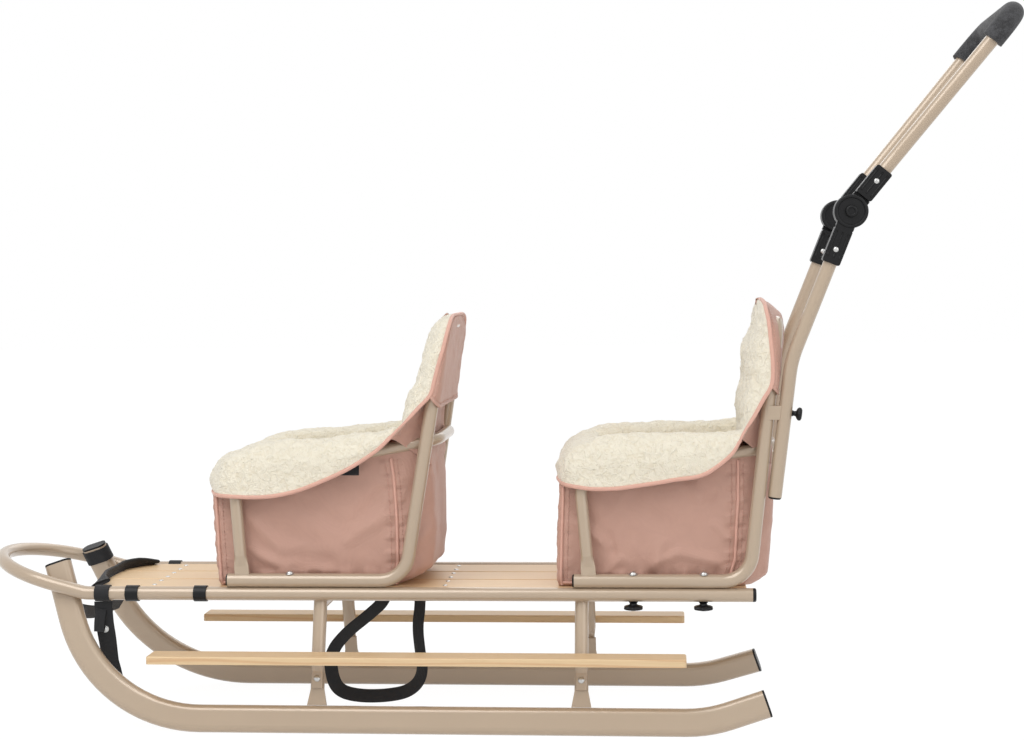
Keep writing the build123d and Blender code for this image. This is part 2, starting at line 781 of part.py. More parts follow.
splay = (handle_top_half - pusher_half) / (handle_length - handle_straight)
grip_start = handle_length - handle_bend_r - grip_leg_length
grip_left = [
    handle_point(grip_start, handle_top_half - splay * (handle_length - grip_start)),
    handle_point(handle_length, handle_top_half),
]
grip_room = rod(crossed(handle_left), handle_bends, tube_r + gap)
with BuildPart() as handle_grip:
    for side in (-1, 1):
        half_route = [Vector(p.X, -side * p.Y, p.Z) for p in grip_left] + [handle_point(handle_length, 0)]
        add(rod(half_route, handle_bend_r, grip_r).part)
    add(grip_room.part, mode=Mode.SUBTRACT)
keep(handle_grip, "handle_grip")


# Webbing wraps: one round the left rail and two round the right runner's tip
wrap_x = at(loop_rise_start + wrap_behind_rise)
with BuildPart() as strap_wraps:
    start = (wrap_x - webbing_width / 2, -rail_half_spacing, rail_z)
    with BuildSketch(Plane(origin=start, z_dir=(1, 0, 0))):
        Circle(tube_r + gap + webbing_thick)
        Circle(tube_r + gap, mode=Mode.SUBTRACT)
    extrude(amount=webbing_width)
    for wrap_h in (runner_cross_h - tip_wrap_below, runner_cross_h + tip_wrap_above):
        place, turn = front_place(wrap_h)
        with BuildSketch(runner_section(1, place, -turn)):
            SlotOverall(
                runner_height + 2 * (gap + webbing_thick),
                runner_thick + 2 * (gap + webbing_thick),
                rotation=90,
            )
            SlotOverall(runner_height + 2 * gap, runner_thick + 2 * gap, rotation=90, mode=Mode.SUBTRACT)
        extrude(amount=webbing_width / 2, both=True)
keep(strap_wraps, "strap_wraps")


def route_radii(points):
    """The largest arc that each corner's two runs allow."""
    radii = []
    for before, here, after in zip(points, points[1:], points[2:]):
        half_turn = radians((here - before).get_angle(after - here)) / 2
        radii.append(route_run_share * min((here - before).length, (after - here).length) / tan(half_turn))
    return radii


# Free webbing, each strap a plain round solid as thick as the webbing is wide
def rows(columns, table):
    """A table's rows, each with its columns' names."""
    return [dict(zip(columns, row)) for row in table]


def runner_inside(z):
    """Half the clear width between the runners at a height."""
    return runner_half_y0 - z * tan(lean) - runner_thick / 2 / cos(lean)


tail_points = [
    Vector(wrap_x + p["behind"], p["inward"] - rail_half_spacing, rail_z - p["below"])
    for p in rows(tail_columns, tail_route)
]
loop_points = [
    Vector(at(p["station"]), p["side"], p["height_share"] * (slat_low_z - gap))
    for p in rows(loop_columns, loop_route)
]
cross_points = [
    Vector(
        front_place(p["z"] / cos(lean))[0][0] + p["behind"],
        p["side_share"] * runner_inside(p["z"]),
        p["z"],
    )
    for p in rows(cross_columns, cross_route)
]
for strap_name, strap_points in (
    ("strap_tail", tail_points),
    ("strap_loop", loop_points),
    ("strap_cross", cross_points),
):
    strap_radii = route_radii(strap_points)
    strap = rod(strap_points, strap_radii, webbing_width / 2)
    keep(strap, strap_name)
    print(strap_name, "radii", [round(r) for r in strap_radii], "volume", round(strap.part.volume))

os.makedirs("parts", exist_ok=True)
for name, part in parts.items():
    export_step(part, f"parts/{name}.step")
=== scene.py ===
"""Dresses a child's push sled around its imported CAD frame: seats, straps, fasteners, finishes and studio.

Sizes in the tables are millimetres. A station is the distance from the foremost point of the deck's
front loop, which is the low end of X. Positive halves are mirrored to both sides of the sled.
"""

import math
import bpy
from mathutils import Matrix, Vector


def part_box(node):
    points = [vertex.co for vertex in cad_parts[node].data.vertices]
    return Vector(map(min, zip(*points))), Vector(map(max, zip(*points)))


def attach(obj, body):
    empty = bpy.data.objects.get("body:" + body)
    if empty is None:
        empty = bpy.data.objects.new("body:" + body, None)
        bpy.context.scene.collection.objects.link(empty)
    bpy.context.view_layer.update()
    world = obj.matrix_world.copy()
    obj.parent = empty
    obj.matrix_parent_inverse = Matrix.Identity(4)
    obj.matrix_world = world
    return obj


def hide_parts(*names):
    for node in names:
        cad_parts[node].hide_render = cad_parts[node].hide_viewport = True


bl_info = {
    "name": "Push Sled Dresser",
    "version": (1, 0, 0),
    "blender": (4, 5, 0),
    "location": "View3D > Sidebar > Sled",
    "description": "Builds the soft goods, fittings and finishes of a child's push sled around its frame",
    "category": "Object",
}

import bmesh
import bpy
import numpy as np
from bpy.props import FloatProperty, FloatVectorProperty, PointerProperty
from mathutils import Matrix, Vector, noise

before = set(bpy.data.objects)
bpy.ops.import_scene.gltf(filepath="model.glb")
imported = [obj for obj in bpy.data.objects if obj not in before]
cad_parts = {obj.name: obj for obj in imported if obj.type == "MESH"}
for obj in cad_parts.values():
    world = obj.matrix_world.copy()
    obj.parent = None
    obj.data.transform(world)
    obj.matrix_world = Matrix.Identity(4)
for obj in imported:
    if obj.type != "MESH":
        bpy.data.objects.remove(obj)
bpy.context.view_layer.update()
MM = 0.001
STATION_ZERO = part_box("deck_rail_loop")[0].x / MM
SIDES = ((-1, "left"), (1, "right"))
MIRROR = (1, -1, 1)
TURN = 2 * math.pi


# Colours and sizes that a user would change


def tint(red, green, blue):
    """A screen colour from 0 to 255 as the linear numbers that Blender keeps."""

    def linear(share):
        return share / 12.92 if share <= 0.04045 else ((share + 0.055) / 1.055) ** 2.4

    return tuple(linear(value / 255) for value in (red, green, blue))


def colour_of(name, description, default):
    return FloatVectorProperty(
        name=name, description=description, default=default, subtype="COLOR", size=3, min=0, max=1
    )


def length_of(name, description, millimetres):
    return FloatProperty(
        name=name, description=description, default=millimetres * MM, unit="LENGTH", min=0, precision=4
    )


class SledColours(bpy.types.PropertyGroup):
    """Colours of the sled's materials."""

    paint: colour_of("Tube paint", "Powder coat of all the steel tubes", tint(186, 166, 143))
    pine: colour_of("Pine", "Pale wood between the grain lines", tint(236, 206, 162))
    pine_grain: colour_of("Pine grain", "Late wood of the grain lines", tint(214, 168, 124))
    cloth: colour_of("Seat cloth", "Coated nylon of the bags and backs", tint(201, 158, 141))
    piping: colour_of("Piping", "Bias binding and piping cords", tint(228, 178, 160))
    fleece: colour_of("Fleece", "Tips of the pile", tint(248, 240, 220))
    # Painted shade: a warmer, darker cream that the fleece takes in the hollows between its curls.
    fleece_hollow_shade: colour_of("Fleece hollow shade", "Painted shade in the hollows between the curls", tint(238, 227, 202))
    plastic: colour_of("Black plastic", "Hinges, knobs, caps and bands", tint(12, 12, 14))
    webbing: colour_of("Webbing", "Woven straps", tint(19, 19, 22))
    foam: colour_of("Grip foam", "Soft cover of the push bar", tint(60, 60, 62))
    zinc: colour_of("Zinc", "Plated bolts, rivets and snaps", tint(206, 206, 204))
    floor: colour_of("Floor", "Studio floor", tint(253, 253, 253))


class SledSizes(bpy.types.PropertyGroup):
    """Sizes of the soft goods and fasteners."""

    pile: length_of("Pile", "Height of the fleece's larger lumps", 2.6)
    liner: length_of("Liner", "Thickness of the fleece backing", 2.5)
    cloth: length_of("Cloth", "Thickness of the seat cloth with its lining", 1.4)
    binding: length_of("Binding", "Half width of the binding along the liner's edge", 3.0)
    piping: length_of("Piping", "Radius of the piping in the bag's seams", 2.2)
    stitch: length_of("Stitch", "Distance between stitches", 6.0)
    weave: length_of("Weave", "Distance between the ribs of the seat cloth", 1.1)
    twill: length_of("Twill", "Distance between the ribs of the webbing", 1.8)
    strap_width: length_of("Strap width", "Width of the webbing", 22.0)
    strap_thickness: length_of("Strap thickness", "Thickness of the webbing", 1.8)


# Shader maths


class Value:
    """A node's output, so that shader maths reads as Python expressions."""

    def __init__(self, finish, socket):
        self.finish, self.socket = finish, socket

    def maths(self, operation, first, second=0.0):
        return self.finish.node("ShaderNodeMath", {"operation": operation}, {0: first, 1: second})

    def __add__(self, other):
        return self.maths("ADD", self, other)

    def __radd__(self, other):
        return self.maths("ADD", other, self)

    def __sub__(self, other):
        return self.maths("SUBTRACT", self, other)

    def __rsub__(self, other):
        return self.maths("SUBTRACT", other, self)

    def __mul__(self, other):
        return self.maths("MULTIPLY", self, other)

    def __rmul__(self, other):
        return self.maths("MULTIPLY", other, self)

    def sine(self):
        return self.maths("SINE", self)

    def power(self, exponent):
        return self.maths("POWER", self, exponent)


class Finish:
    """One node material around a Principled shader."""

    def __init__(self, name, **constants):
        self.material = bpy.data.materials.new(name)
        self.material.use_nodes = True
        self.tree = self.material.node_tree
        self.shader = self.tree.nodes["Principled BSDF"]
        for key, value in constants.items():
            self.shader.inputs[key.replace("_", " ")].default_value = value

    def node(self, kind, settings=None, inputs=None, output=0):
        """Adds a node: its type, its settings, the values or links of its sockets, and the output wanted."""
        node = self.tree.nodes.new(kind)
        for key, value in (settings or {}).items():
            setattr(node, key, value)
        for key, value in (inputs or {}).items():
            self.feed(node.inputs[key], value)
        return Value(self, node.outputs[output])

    def feed(self, socket, value):
        if isinstance(value, Value):
            self.tree.links.new(value.socket, socket)
        elif socket.type == "RGBA" and len(value) == 3:
            socket.default_value = (*value, 1)
        else:
            socket.default_value = value

    def where(self):
        """The place on the piece, in metres of the sled's frame."""
        return self.node("ShaderNodeTexCoord", output="Object")

    def stretched(self, vector, scales):
        return self.node("ShaderNodeVectorMath", {"operation": "MULTIPLY"}, {0: vector, 1: scales})

    def split(self, vector):
        return [self.node("ShaderNodeSeparateXYZ", None, {0: vector}, axis) for axis in "XYZ"]

    def cloud(self, vector, scale, detail=2.0, roughness=0.5, distortion=0.0):
        """Noise around a half, from 0 to 1."""
        inputs = {"Vector": vector, "Scale": scale, "Detail": detail}
        inputs.update({"Roughness": roughness, "Distortion": distortion})
        return self.node("ShaderNodeTexNoise", None, inputs)

    def ranged(self, value, low, high, to_low=0.0, to_high=1.0):
        """A value between low and high, spread to another range and held inside it."""
        inputs = {"Value": value, "From Min": low, "From Max": high, "To Min": to_low, "To Max": to_high}
        return self.node("ShaderNodeMapRange", None, inputs)

    def mixed(self, first, second, factor):
        """A colour between two colours."""
        return self.node("ShaderNodeMix", {"data_type": "RGBA"}, {0: factor, 6: first, 7: second}, 2)

    def bump(self, height, distance, strength=1.0):
        """Normals raised by a height from 0 to 1, times a distance in metres."""
        inputs = {"Strength": strength, "Distance": distance, "Height": height}
        self.feed(self.shader.inputs["Normal"], self.node("ShaderNodeBump", None, inputs))

    def surface(self, colour, roughness):
        """Gives the shader its colour and roughness, and hands over the material."""
        self.feed(self.shader.inputs["Base Color"], colour)
        self.feed(self.shader.inputs["Roughness"], roughness)
        return self.material


def shaded(colour, share):
    """A colour made lighter or darker."""
    return tuple(min(1.0, channel * share) for channel in colour)


def painted_finish(colours):
    """Satin powder coat under a clear coat, with a faint slow waviness."""
    finish = Finish("tube_paint", Metallic=0.15, Coat_Weight=0.6, Coat_Roughness=0.12)
    where = finish.where()
    patch = finish.cloud(where, 5.0, 3.0)
    colour = finish.mixed(shaded(colours.paint, 0.95), shaded(colours.paint, 1.04), patch)
    finish.bump(patch, 0.0005)
    return finish.surface(colour, 0.26 + 0.08 * patch)


GRAIN_PITCH = 0.0085


def pine_finish(colours):
    """Planed pine: bent grain lines along the sled, fine fibres, and a satin varnish."""
    finish = Finish("planed_pine", Coat_Weight=0.15, Coat_Roughness=0.3)
    where = finish.where()
    bend = finish.cloud(finish.stretched(where, (1.6, 16.0, 16.0)), 1.0, 2.0)
    _along, across, up = finish.split(where)
    ring_turn = TURN / GRAIN_PITCH
    rings = (across * ring_turn + up * (0.7 * ring_turn) + bend * 26.0).sine()
    late = finish.ranged(rings, 0.1, 1.0).power(1.6)
    fibre = finish.cloud(finish.stretched(where, (22.0, 1100.0, 1100.0)), 1.0, 2.0)
    board = finish.cloud(finish.stretched(where, (0.7, 15.0, 15.0)), 1.0, 0.0)
    pale = finish.mixed(colours.pine, shaded(colours.pine, 0.9), board)
    colour = finish.mixed(pale, colours.pine_grain, late * 0.62)
    colour = finish.mixed(colour, shaded(colours.pine_grain, 0.8), finish.ranged(fibre, 0.5, 0.8) * 0.3)
    finish.bump(fibre * 0.6 + late * 0.4, 0.00018)
    return finish.surface(colour, 0.42 + 0.12 * fibre)


def cloth_finish(name, colour, sizes, sheen=0.25):
    """Coated nylon: a fine rib weave, soft creases with painted shade in them, and a weak sheen."""
    finish = Finish(name, Sheen_Weight=sheen, Sheen_Roughness=0.45)
    where = finish.where()
    along, across, up = finish.split(where)
    turn = TURN / sizes.weave
    weave = (along * turn).sine() + (across * turn).sine() + (up * turn).sine()
    crease = finish.cloud(where, 38.0, 4.0, 0.62, 0.6)
    patch = finish.cloud(where, 9.0, 2.0)
    # Random patches of tone, with painted shade: the colour is darker down in the creases of the bump and
    # lighter on their tops.
    shade = finish.mixed(shaded(colour, 0.90), shaded(colour, 1.07), patch * 0.6 + crease * 0.4)
    thread = finish.mixed(shade, shaded(colour, 0.82), finish.ranged(weave, 0.8, 2.6) * 0.35)
    finish.bump(crease * 0.9 + weave * 0.035, 0.0016, 0.8)
    return finish.surface(thread, 0.50 + 0.16 * crease)


def fleece_finish(colours):
    """Curled pile: lumps of curls, with painted shade in the hollows between them."""
    finish = Finish("fleece", Sheen_Weight=0.45, Sheen_Roughness=0.6)
    where = finish.where()
    curls = finish.cloud(where, 115.0, 2.0, 0.5, 1.6)
    fibres = finish.cloud(where, 520.0, 2.0, 0.6, 1.0)
    drift = finish.cloud(where, 14.0, 2.0)
    # The colour goes to a warmer, darker cream low between the curls and to the plain cream on their tops, in
    # step with the bump: painted shade in the hollows.
    deep = finish.ranged(curls * 0.78 + fibres * 0.22, 0.34, 0.54)
    colour = finish.mixed(colours.fleece_hollow_shade, colours.fleece, deep)
    colour = finish.mixed(colour, shaded(colours.fleece, 0.94), finish.ranged(drift, 0.35, 0.75) * 0.4)
    finish.bump(curls * 0.82 + fibres * 0.18, 0.0052, 0.85)
    return finish.surface(colour, 0.9 + 0.08 * fibres)


def webbing_finish(name, colour, pitch):
    """Woven strap with slanting ribs, with a painted highlight on the ribs and painted shade between them."""
    finish = Finish(name, Sheen_Weight=0.12, Sheen_Roughness=0.4)
    where = finish.where()
    along, across, up = finish.split(where)
    turn = TURN / pitch
    ribs = ((along + up) * turn).sine() * ((across - up) * turn).sine()
    fuzz = finish.cloud(where, 900.0, 1.0)
    # The colour is lighter on the tops of the ribs and darker between them, in step with the bump: painted
    # highlight and painted shade.
    shade = finish.mixed(shaded(colour, 0.75), shaded(colour, 1.35), finish.ranged(ribs, -1.0, 1.0))
    finish.bump(finish.ranged(ribs, -1.0, 1.0) * 0.7 + fuzz * 0.3, 0.0004)
    return finish.surface(shade, 0.66 + 0.14 * fuzz)


def moulded_finish(name, colour, roughness, grain):
    """Moulded plastic or rubber with a fine spark-eroded grain."""
    finish = Finish(name, Specular_IOR_Level=0.3)
    where = finish.where()
    spark = finish.cloud(where, grain, 1.0)
    patch = finish.cloud(where, 30.0, 2.0)
    shade = finish.mixed(shaded(colour, 0.85), shaded(colour, 1.2), patch)
    finish.bump(spark, 0.00012)
    return finish.surface(shade, roughness + 0.1 * patch)


def foam_finish(colours):
    """Mottled cell foam."""
    finish = Finish("grip_foam", Sheen_Weight=0.1)
    where = finish.where()
    cells = finish.cloud(where, 650.0, 2.0, 0.7)
    mottle = finish.cloud(where, 90.0, 3.0, 0.7)
    pale = finish.ranged(mottle * 0.5 + cells * 0.5, 0.38, 0.66)
    shade = finish.mixed(shaded(colours.foam, 0.45), shaded(colours.foam, 1.9), pale)
    finish.bump(cells, 0.0005)
    return finish.surface(shade, 0.8 + 0.1 * cells)


def zinc_finish(colours):
    """Plated steel with faint smears."""
    finish = Finish("zinc_plate", Metallic=1.0)
    smear = finish.cloud(finish.where(), 260.0, 3.0)
    shade = finish.mixed(shaded(colours.zinc, 0.86), colours.zinc, smear)
    finish.bump(smear, 0.00005)
    return finish.surface(shade, 0.22 + 0.18 * smear)


# Meshes


def at(station, across, height):
    """A place in millimetres of the sled's frame."""
    return np.array((station + STATION_ZERO, across, height), float)


def placed(points):
    """An array of (station, across, height) in millimetres of the sled's frame."""
    points = np.asarray(points, float).copy()
    points[..., 0] += STATION_ZERO
    return points


def piece(name, shape, finish, body="root", thickness=0.0, second=None):
    """A shaded mesh from (points in millimetres, faces) that rides on a body of the frame."""
    points, faces = shape
    mesh = bpy.data.meshes.new(name)
    mesh.from_pydata((np.asarray(points, float) * MM).tolist(), [], faces)
    mesh.validate()
    mesh.polygons.foreach_set("use_smooth", np.ones(len(mesh.polygons), bool))
    mesh.materials.append(finish)
    made = bpy.data.objects.new(name, mesh)
    bpy.context.scene.collection.objects.link(made)
    if thickness:
        shell = made.modifiers.new("thickness", "SOLIDIFY")
        shell.thickness, shell.offset = thickness, -1.0
        if second:
            mesh.materials.append(second)
            shell.material_offset = 1
    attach(made, body)
    return made


def grid(points, ring=False, tube=False):
    """Points in rows and columns as a mesh; a ring closes its rows, a tube its columns."""
    points = np.asarray(points, float)
    rows, columns = points.shape[:2]
    faces = []
    for row in range(rows if ring else rows - 1):
        after = (row + 1) % rows
        for column in range(columns if tube else columns - 1):
            beside = (column + 1) % columns
            here, there = row * columns, after * columns
            faces.append((here + column, here + beside, there + beside, there + column))
    return points.reshape(-1, 3), faces


def joined(shapes):
    """Several shapes as one mesh."""
    points, faces, count = [], [], 0
    for some_points, some_faces in shapes:
        points.append(np.asarray(some_points, float))
        faces += [tuple(index + count for index in face) for face in some_faces]
        count += len(some_points)
    return np.concatenate(points), faces


def unit(vectors):
    vectors = np.asarray(vectors, float)
    return vectors / np.maximum(np.linalg.norm(vectors, axis=-1, keepdims=True), 1e-9)


def eased(keys, steps, ring=False):
    """Smooth rows through the key rows: a cubic through uneven distances, steps rows a gap."""
    keys = np.asarray(keys, float)
    if ring:
        keys = np.concatenate((keys[-2:], keys, keys[:3]))
    gaps = np.linalg.norm(np.diff(keys, axis=0), axis=-1)
    gaps = np.maximum(gaps.mean(axis=tuple(range(1, gaps.ndim))) if gaps.ndim > 1 else gaps, 1e-6)
    gaps = gaps.reshape((-1,) + (1,) * (keys.ndim - 1))
    slopes = np.diff(keys, axis=0) / gaps
    inner = (slopes[:-1] * gaps[1:] + slopes[1:] * gaps[:-1]) / (gaps[:-1] + gaps[1:])
    tangents = np.concatenate((slopes[:1], inner, slopes[-1:]))
    rows = []
    first, last = (2, len(keys) - 3) if ring else (0, len(keys) - 1)
    for index in range(first, last):
        for step in range(steps):
            t = step / steps
            rows.append(
                (2 * t**3 - 3 * t**2 + 1) * keys[index]
                + (t**3 - 2 * t**2 + t) * gaps[index] * tangents[index]
                + (3 * t**2 - 2 * t**3) * keys[index + 1]
                + (t**3 - t**2) * gaps[index] * tangents[index + 1]
            )
    if not ring:
        rows.append(keys[-1])
    return np.array(rows)


def distances_along(path):
    """Each point's distance from the start of a path, along it."""
    return np.concatenate(([0], np.cumsum(np.linalg.norm(np.diff(path, axis=0), axis=1))))


def read_along(marks, rows, wanted):
    """Rows of three numbers that are given at marks, read at the wanted marks."""
    rows = np.asarray(rows, float)
    return np.stack([np.interp(wanted, marks, rows[:, axis]) for axis in range(3)], axis=-1)


def spread(path, count):
    """A path's points at even distances."""
    along = distances_along(np.asarray(path, float))
    return read_along(along, path, np.linspace(0, along[-1], count))


def tangents_of(path, ring=False):
    if ring:
        return unit(np.roll(path, -1, axis=0) - np.roll(path, 1, axis=0))
    return unit(np.gradient(path, axis=0))


def sweep(path, half_width, half_thick, across=None, sides=10, ring=False, squareness=1.0):
    """A cord or strap along a path. The width lies along the directions in across."""
    path = np.asarray(path, float)
    ahead = tangents_of(path, ring)
    if across is None:
        side = np.cross(ahead[0], (0.0, 0.0, 1.0))
        side = side if np.linalg.norm(side) > 0.2 else np.cross(ahead[0], (0.0, 1.0, 0.0))
        across = []
        for direction in ahead:
            side = unit(side - direction * side.dot(direction))
            across.append(side)
    across = np.broadcast_to(np.asarray(across, float), path.shape)
    across = unit(across - ahead * (across * ahead).sum(axis=1, keepdims=True))
    thick = np.cross(ahead, across)
    angles = np.arange(sides) * TURN / sides
    wide = np.sign(np.cos(angles)) * np.abs(np.cos(angles)) ** squareness
    tall = np.sign(np.sin(angles)) * np.abs(np.sin(angles)) ** squareness
    points = (
        path[:, None]
        + across[:, None] * (wide * half_width)[None, :, None]
        + thick[:, None] * (tall * half_thick)[None, :, None]
    )
    shape, faces = grid(points, ring=ring, tube=True)
    if not ring:
        faces.append(tuple(range(sides)))
        faces.append(tuple(len(shape) - 1 - index for index in range(sides)))
    return shape, faces


def bent(corners, radii, steps=16):
    """A path through corners with round bends of the given radii."""
    path = [corners[0]]
    for before, corner, after, radius in zip(corners, corners[1:], corners[2:], radii):
        back, ahead = unit(before - corner), unit(after - corner)
        half = math.acos(float(np.clip(back @ ahead, -1, 1))) / 2
        reach = radius / math.tan(half)
        start, end = corner + back * reach, corner + ahead * reach
        centre = corner + unit(back + ahead) * (radius / math.sin(half))
        turn = math.pi - 2 * half
        for share in np.linspace(0, 1, steps):
            from_start = (start - centre) * math.sin((1 - share) * turn)
            from_end = (end - centre) * math.sin(share * turn)
            path.append(centre + (from_start + from_end) / math.sin(turn))
    path.append(corners[-1])
    return np.array(path)


def turned(profile, centre, axis, steps=20, lobes=0, lobe_depth=0.0):
    """A profile of (radius, height) turned about an axis, with lobes if any."""
    axis = unit(axis)
    first = np.cross(axis, (0.0, 0.0, 1.0)) if abs(axis[2]) < 0.9 else np.cross(axis, (1.0, 0.0, 0.0))
    first = unit(first)
    second = np.cross(axis, first)
    rows = []
    widest = max(radius for radius, _height in profile)
    for radius, height in profile:
        row = []
        for step in range(steps):
            angle = step * TURN / steps
            wave = 1 + lobe_depth * math.cos(lobes * angle) * (radius / widest) ** 3
            out = first * math.cos(angle) + second * math.sin(angle)
            row.append(centre + axis * height + out * radius * wave)
        rows.append(row)
    points, faces = grid(np.array(rows), tube=True)
    for end, order in ((0, 1), (len(rows) - 1, -1)):
        if profile[end][0] > 1e-6:
            faces.append(tuple((end * steps + index) for index in range(steps))[::order])
    return points, faces


def welded(made, distance):
    """Joins the points of a piece that lie together, and turns its faces one way."""
    work = bmesh.new()
    work.from_mesh(made.data)
    bmesh.ops.remove_doubles(work, verts=work.verts, dist=distance * MM)
    bmesh.ops.dissolve_degenerate(work, edges=work.edges, dist=1e-7)
    bmesh.ops.recalc_face_normals(work, faces=work.faces)
    work.to_mesh(made.data)
    work.free()


STITCH_LENGTH, STITCH_RADIUS = 4.2, 0.55
STITCH_SHARES = (-0.5, -0.3, 0.0, 0.3, 0.5)
STITCH_LIFTS = (-0.5, 0.5, 0.8, 0.5, -0.5)


def stitches(path, normals, spacing):
    """Thread stitches along a path, lying on a surface."""
    along = distances_along(path)
    shapes = []
    for place in (np.arange(int(along[-1] / spacing)) + 0.5) * spacing:
        normal = unit(read_along(along, normals, place))
        line = np.array([
            read_along(along, path, place + share * STITCH_LENGTH) + normal * STITCH_RADIUS * lift
            for share, lift in zip(STITCH_SHARES, STITCH_LIFTS)
        ])
        across = np.cross(normal, line[-1] - line[0])
        shapes.append(sweep(line, STITCH_RADIUS, STITCH_RADIUS * 0.8, across=across, sides=5))
    return shapes


def normals_of(points):
    """Normals of a grid of points."""
    return unit(np.cross(np.gradient(points, axis=0), np.gradient(points, axis=1)))


# Seats: edge of the fleece liner, its rim over the arm hoop, and the cloth bag below

# Columns of the tables, in millimetres:
#   back        station of the liner's edge, half width, height of the edge, height at the middle
#   corner      places (station, across, height) from the edge to the middle
#   rim         station, half width, outward direction in x and y, reach, hem, crest, middle's station
#   profiles    height, station; so are bag_front, bag_seam and bag_rear
#   bag_top     station, height
#   folds       from station and height, to station and height, width, rise
#   tag         low corner and high corner (station, height)

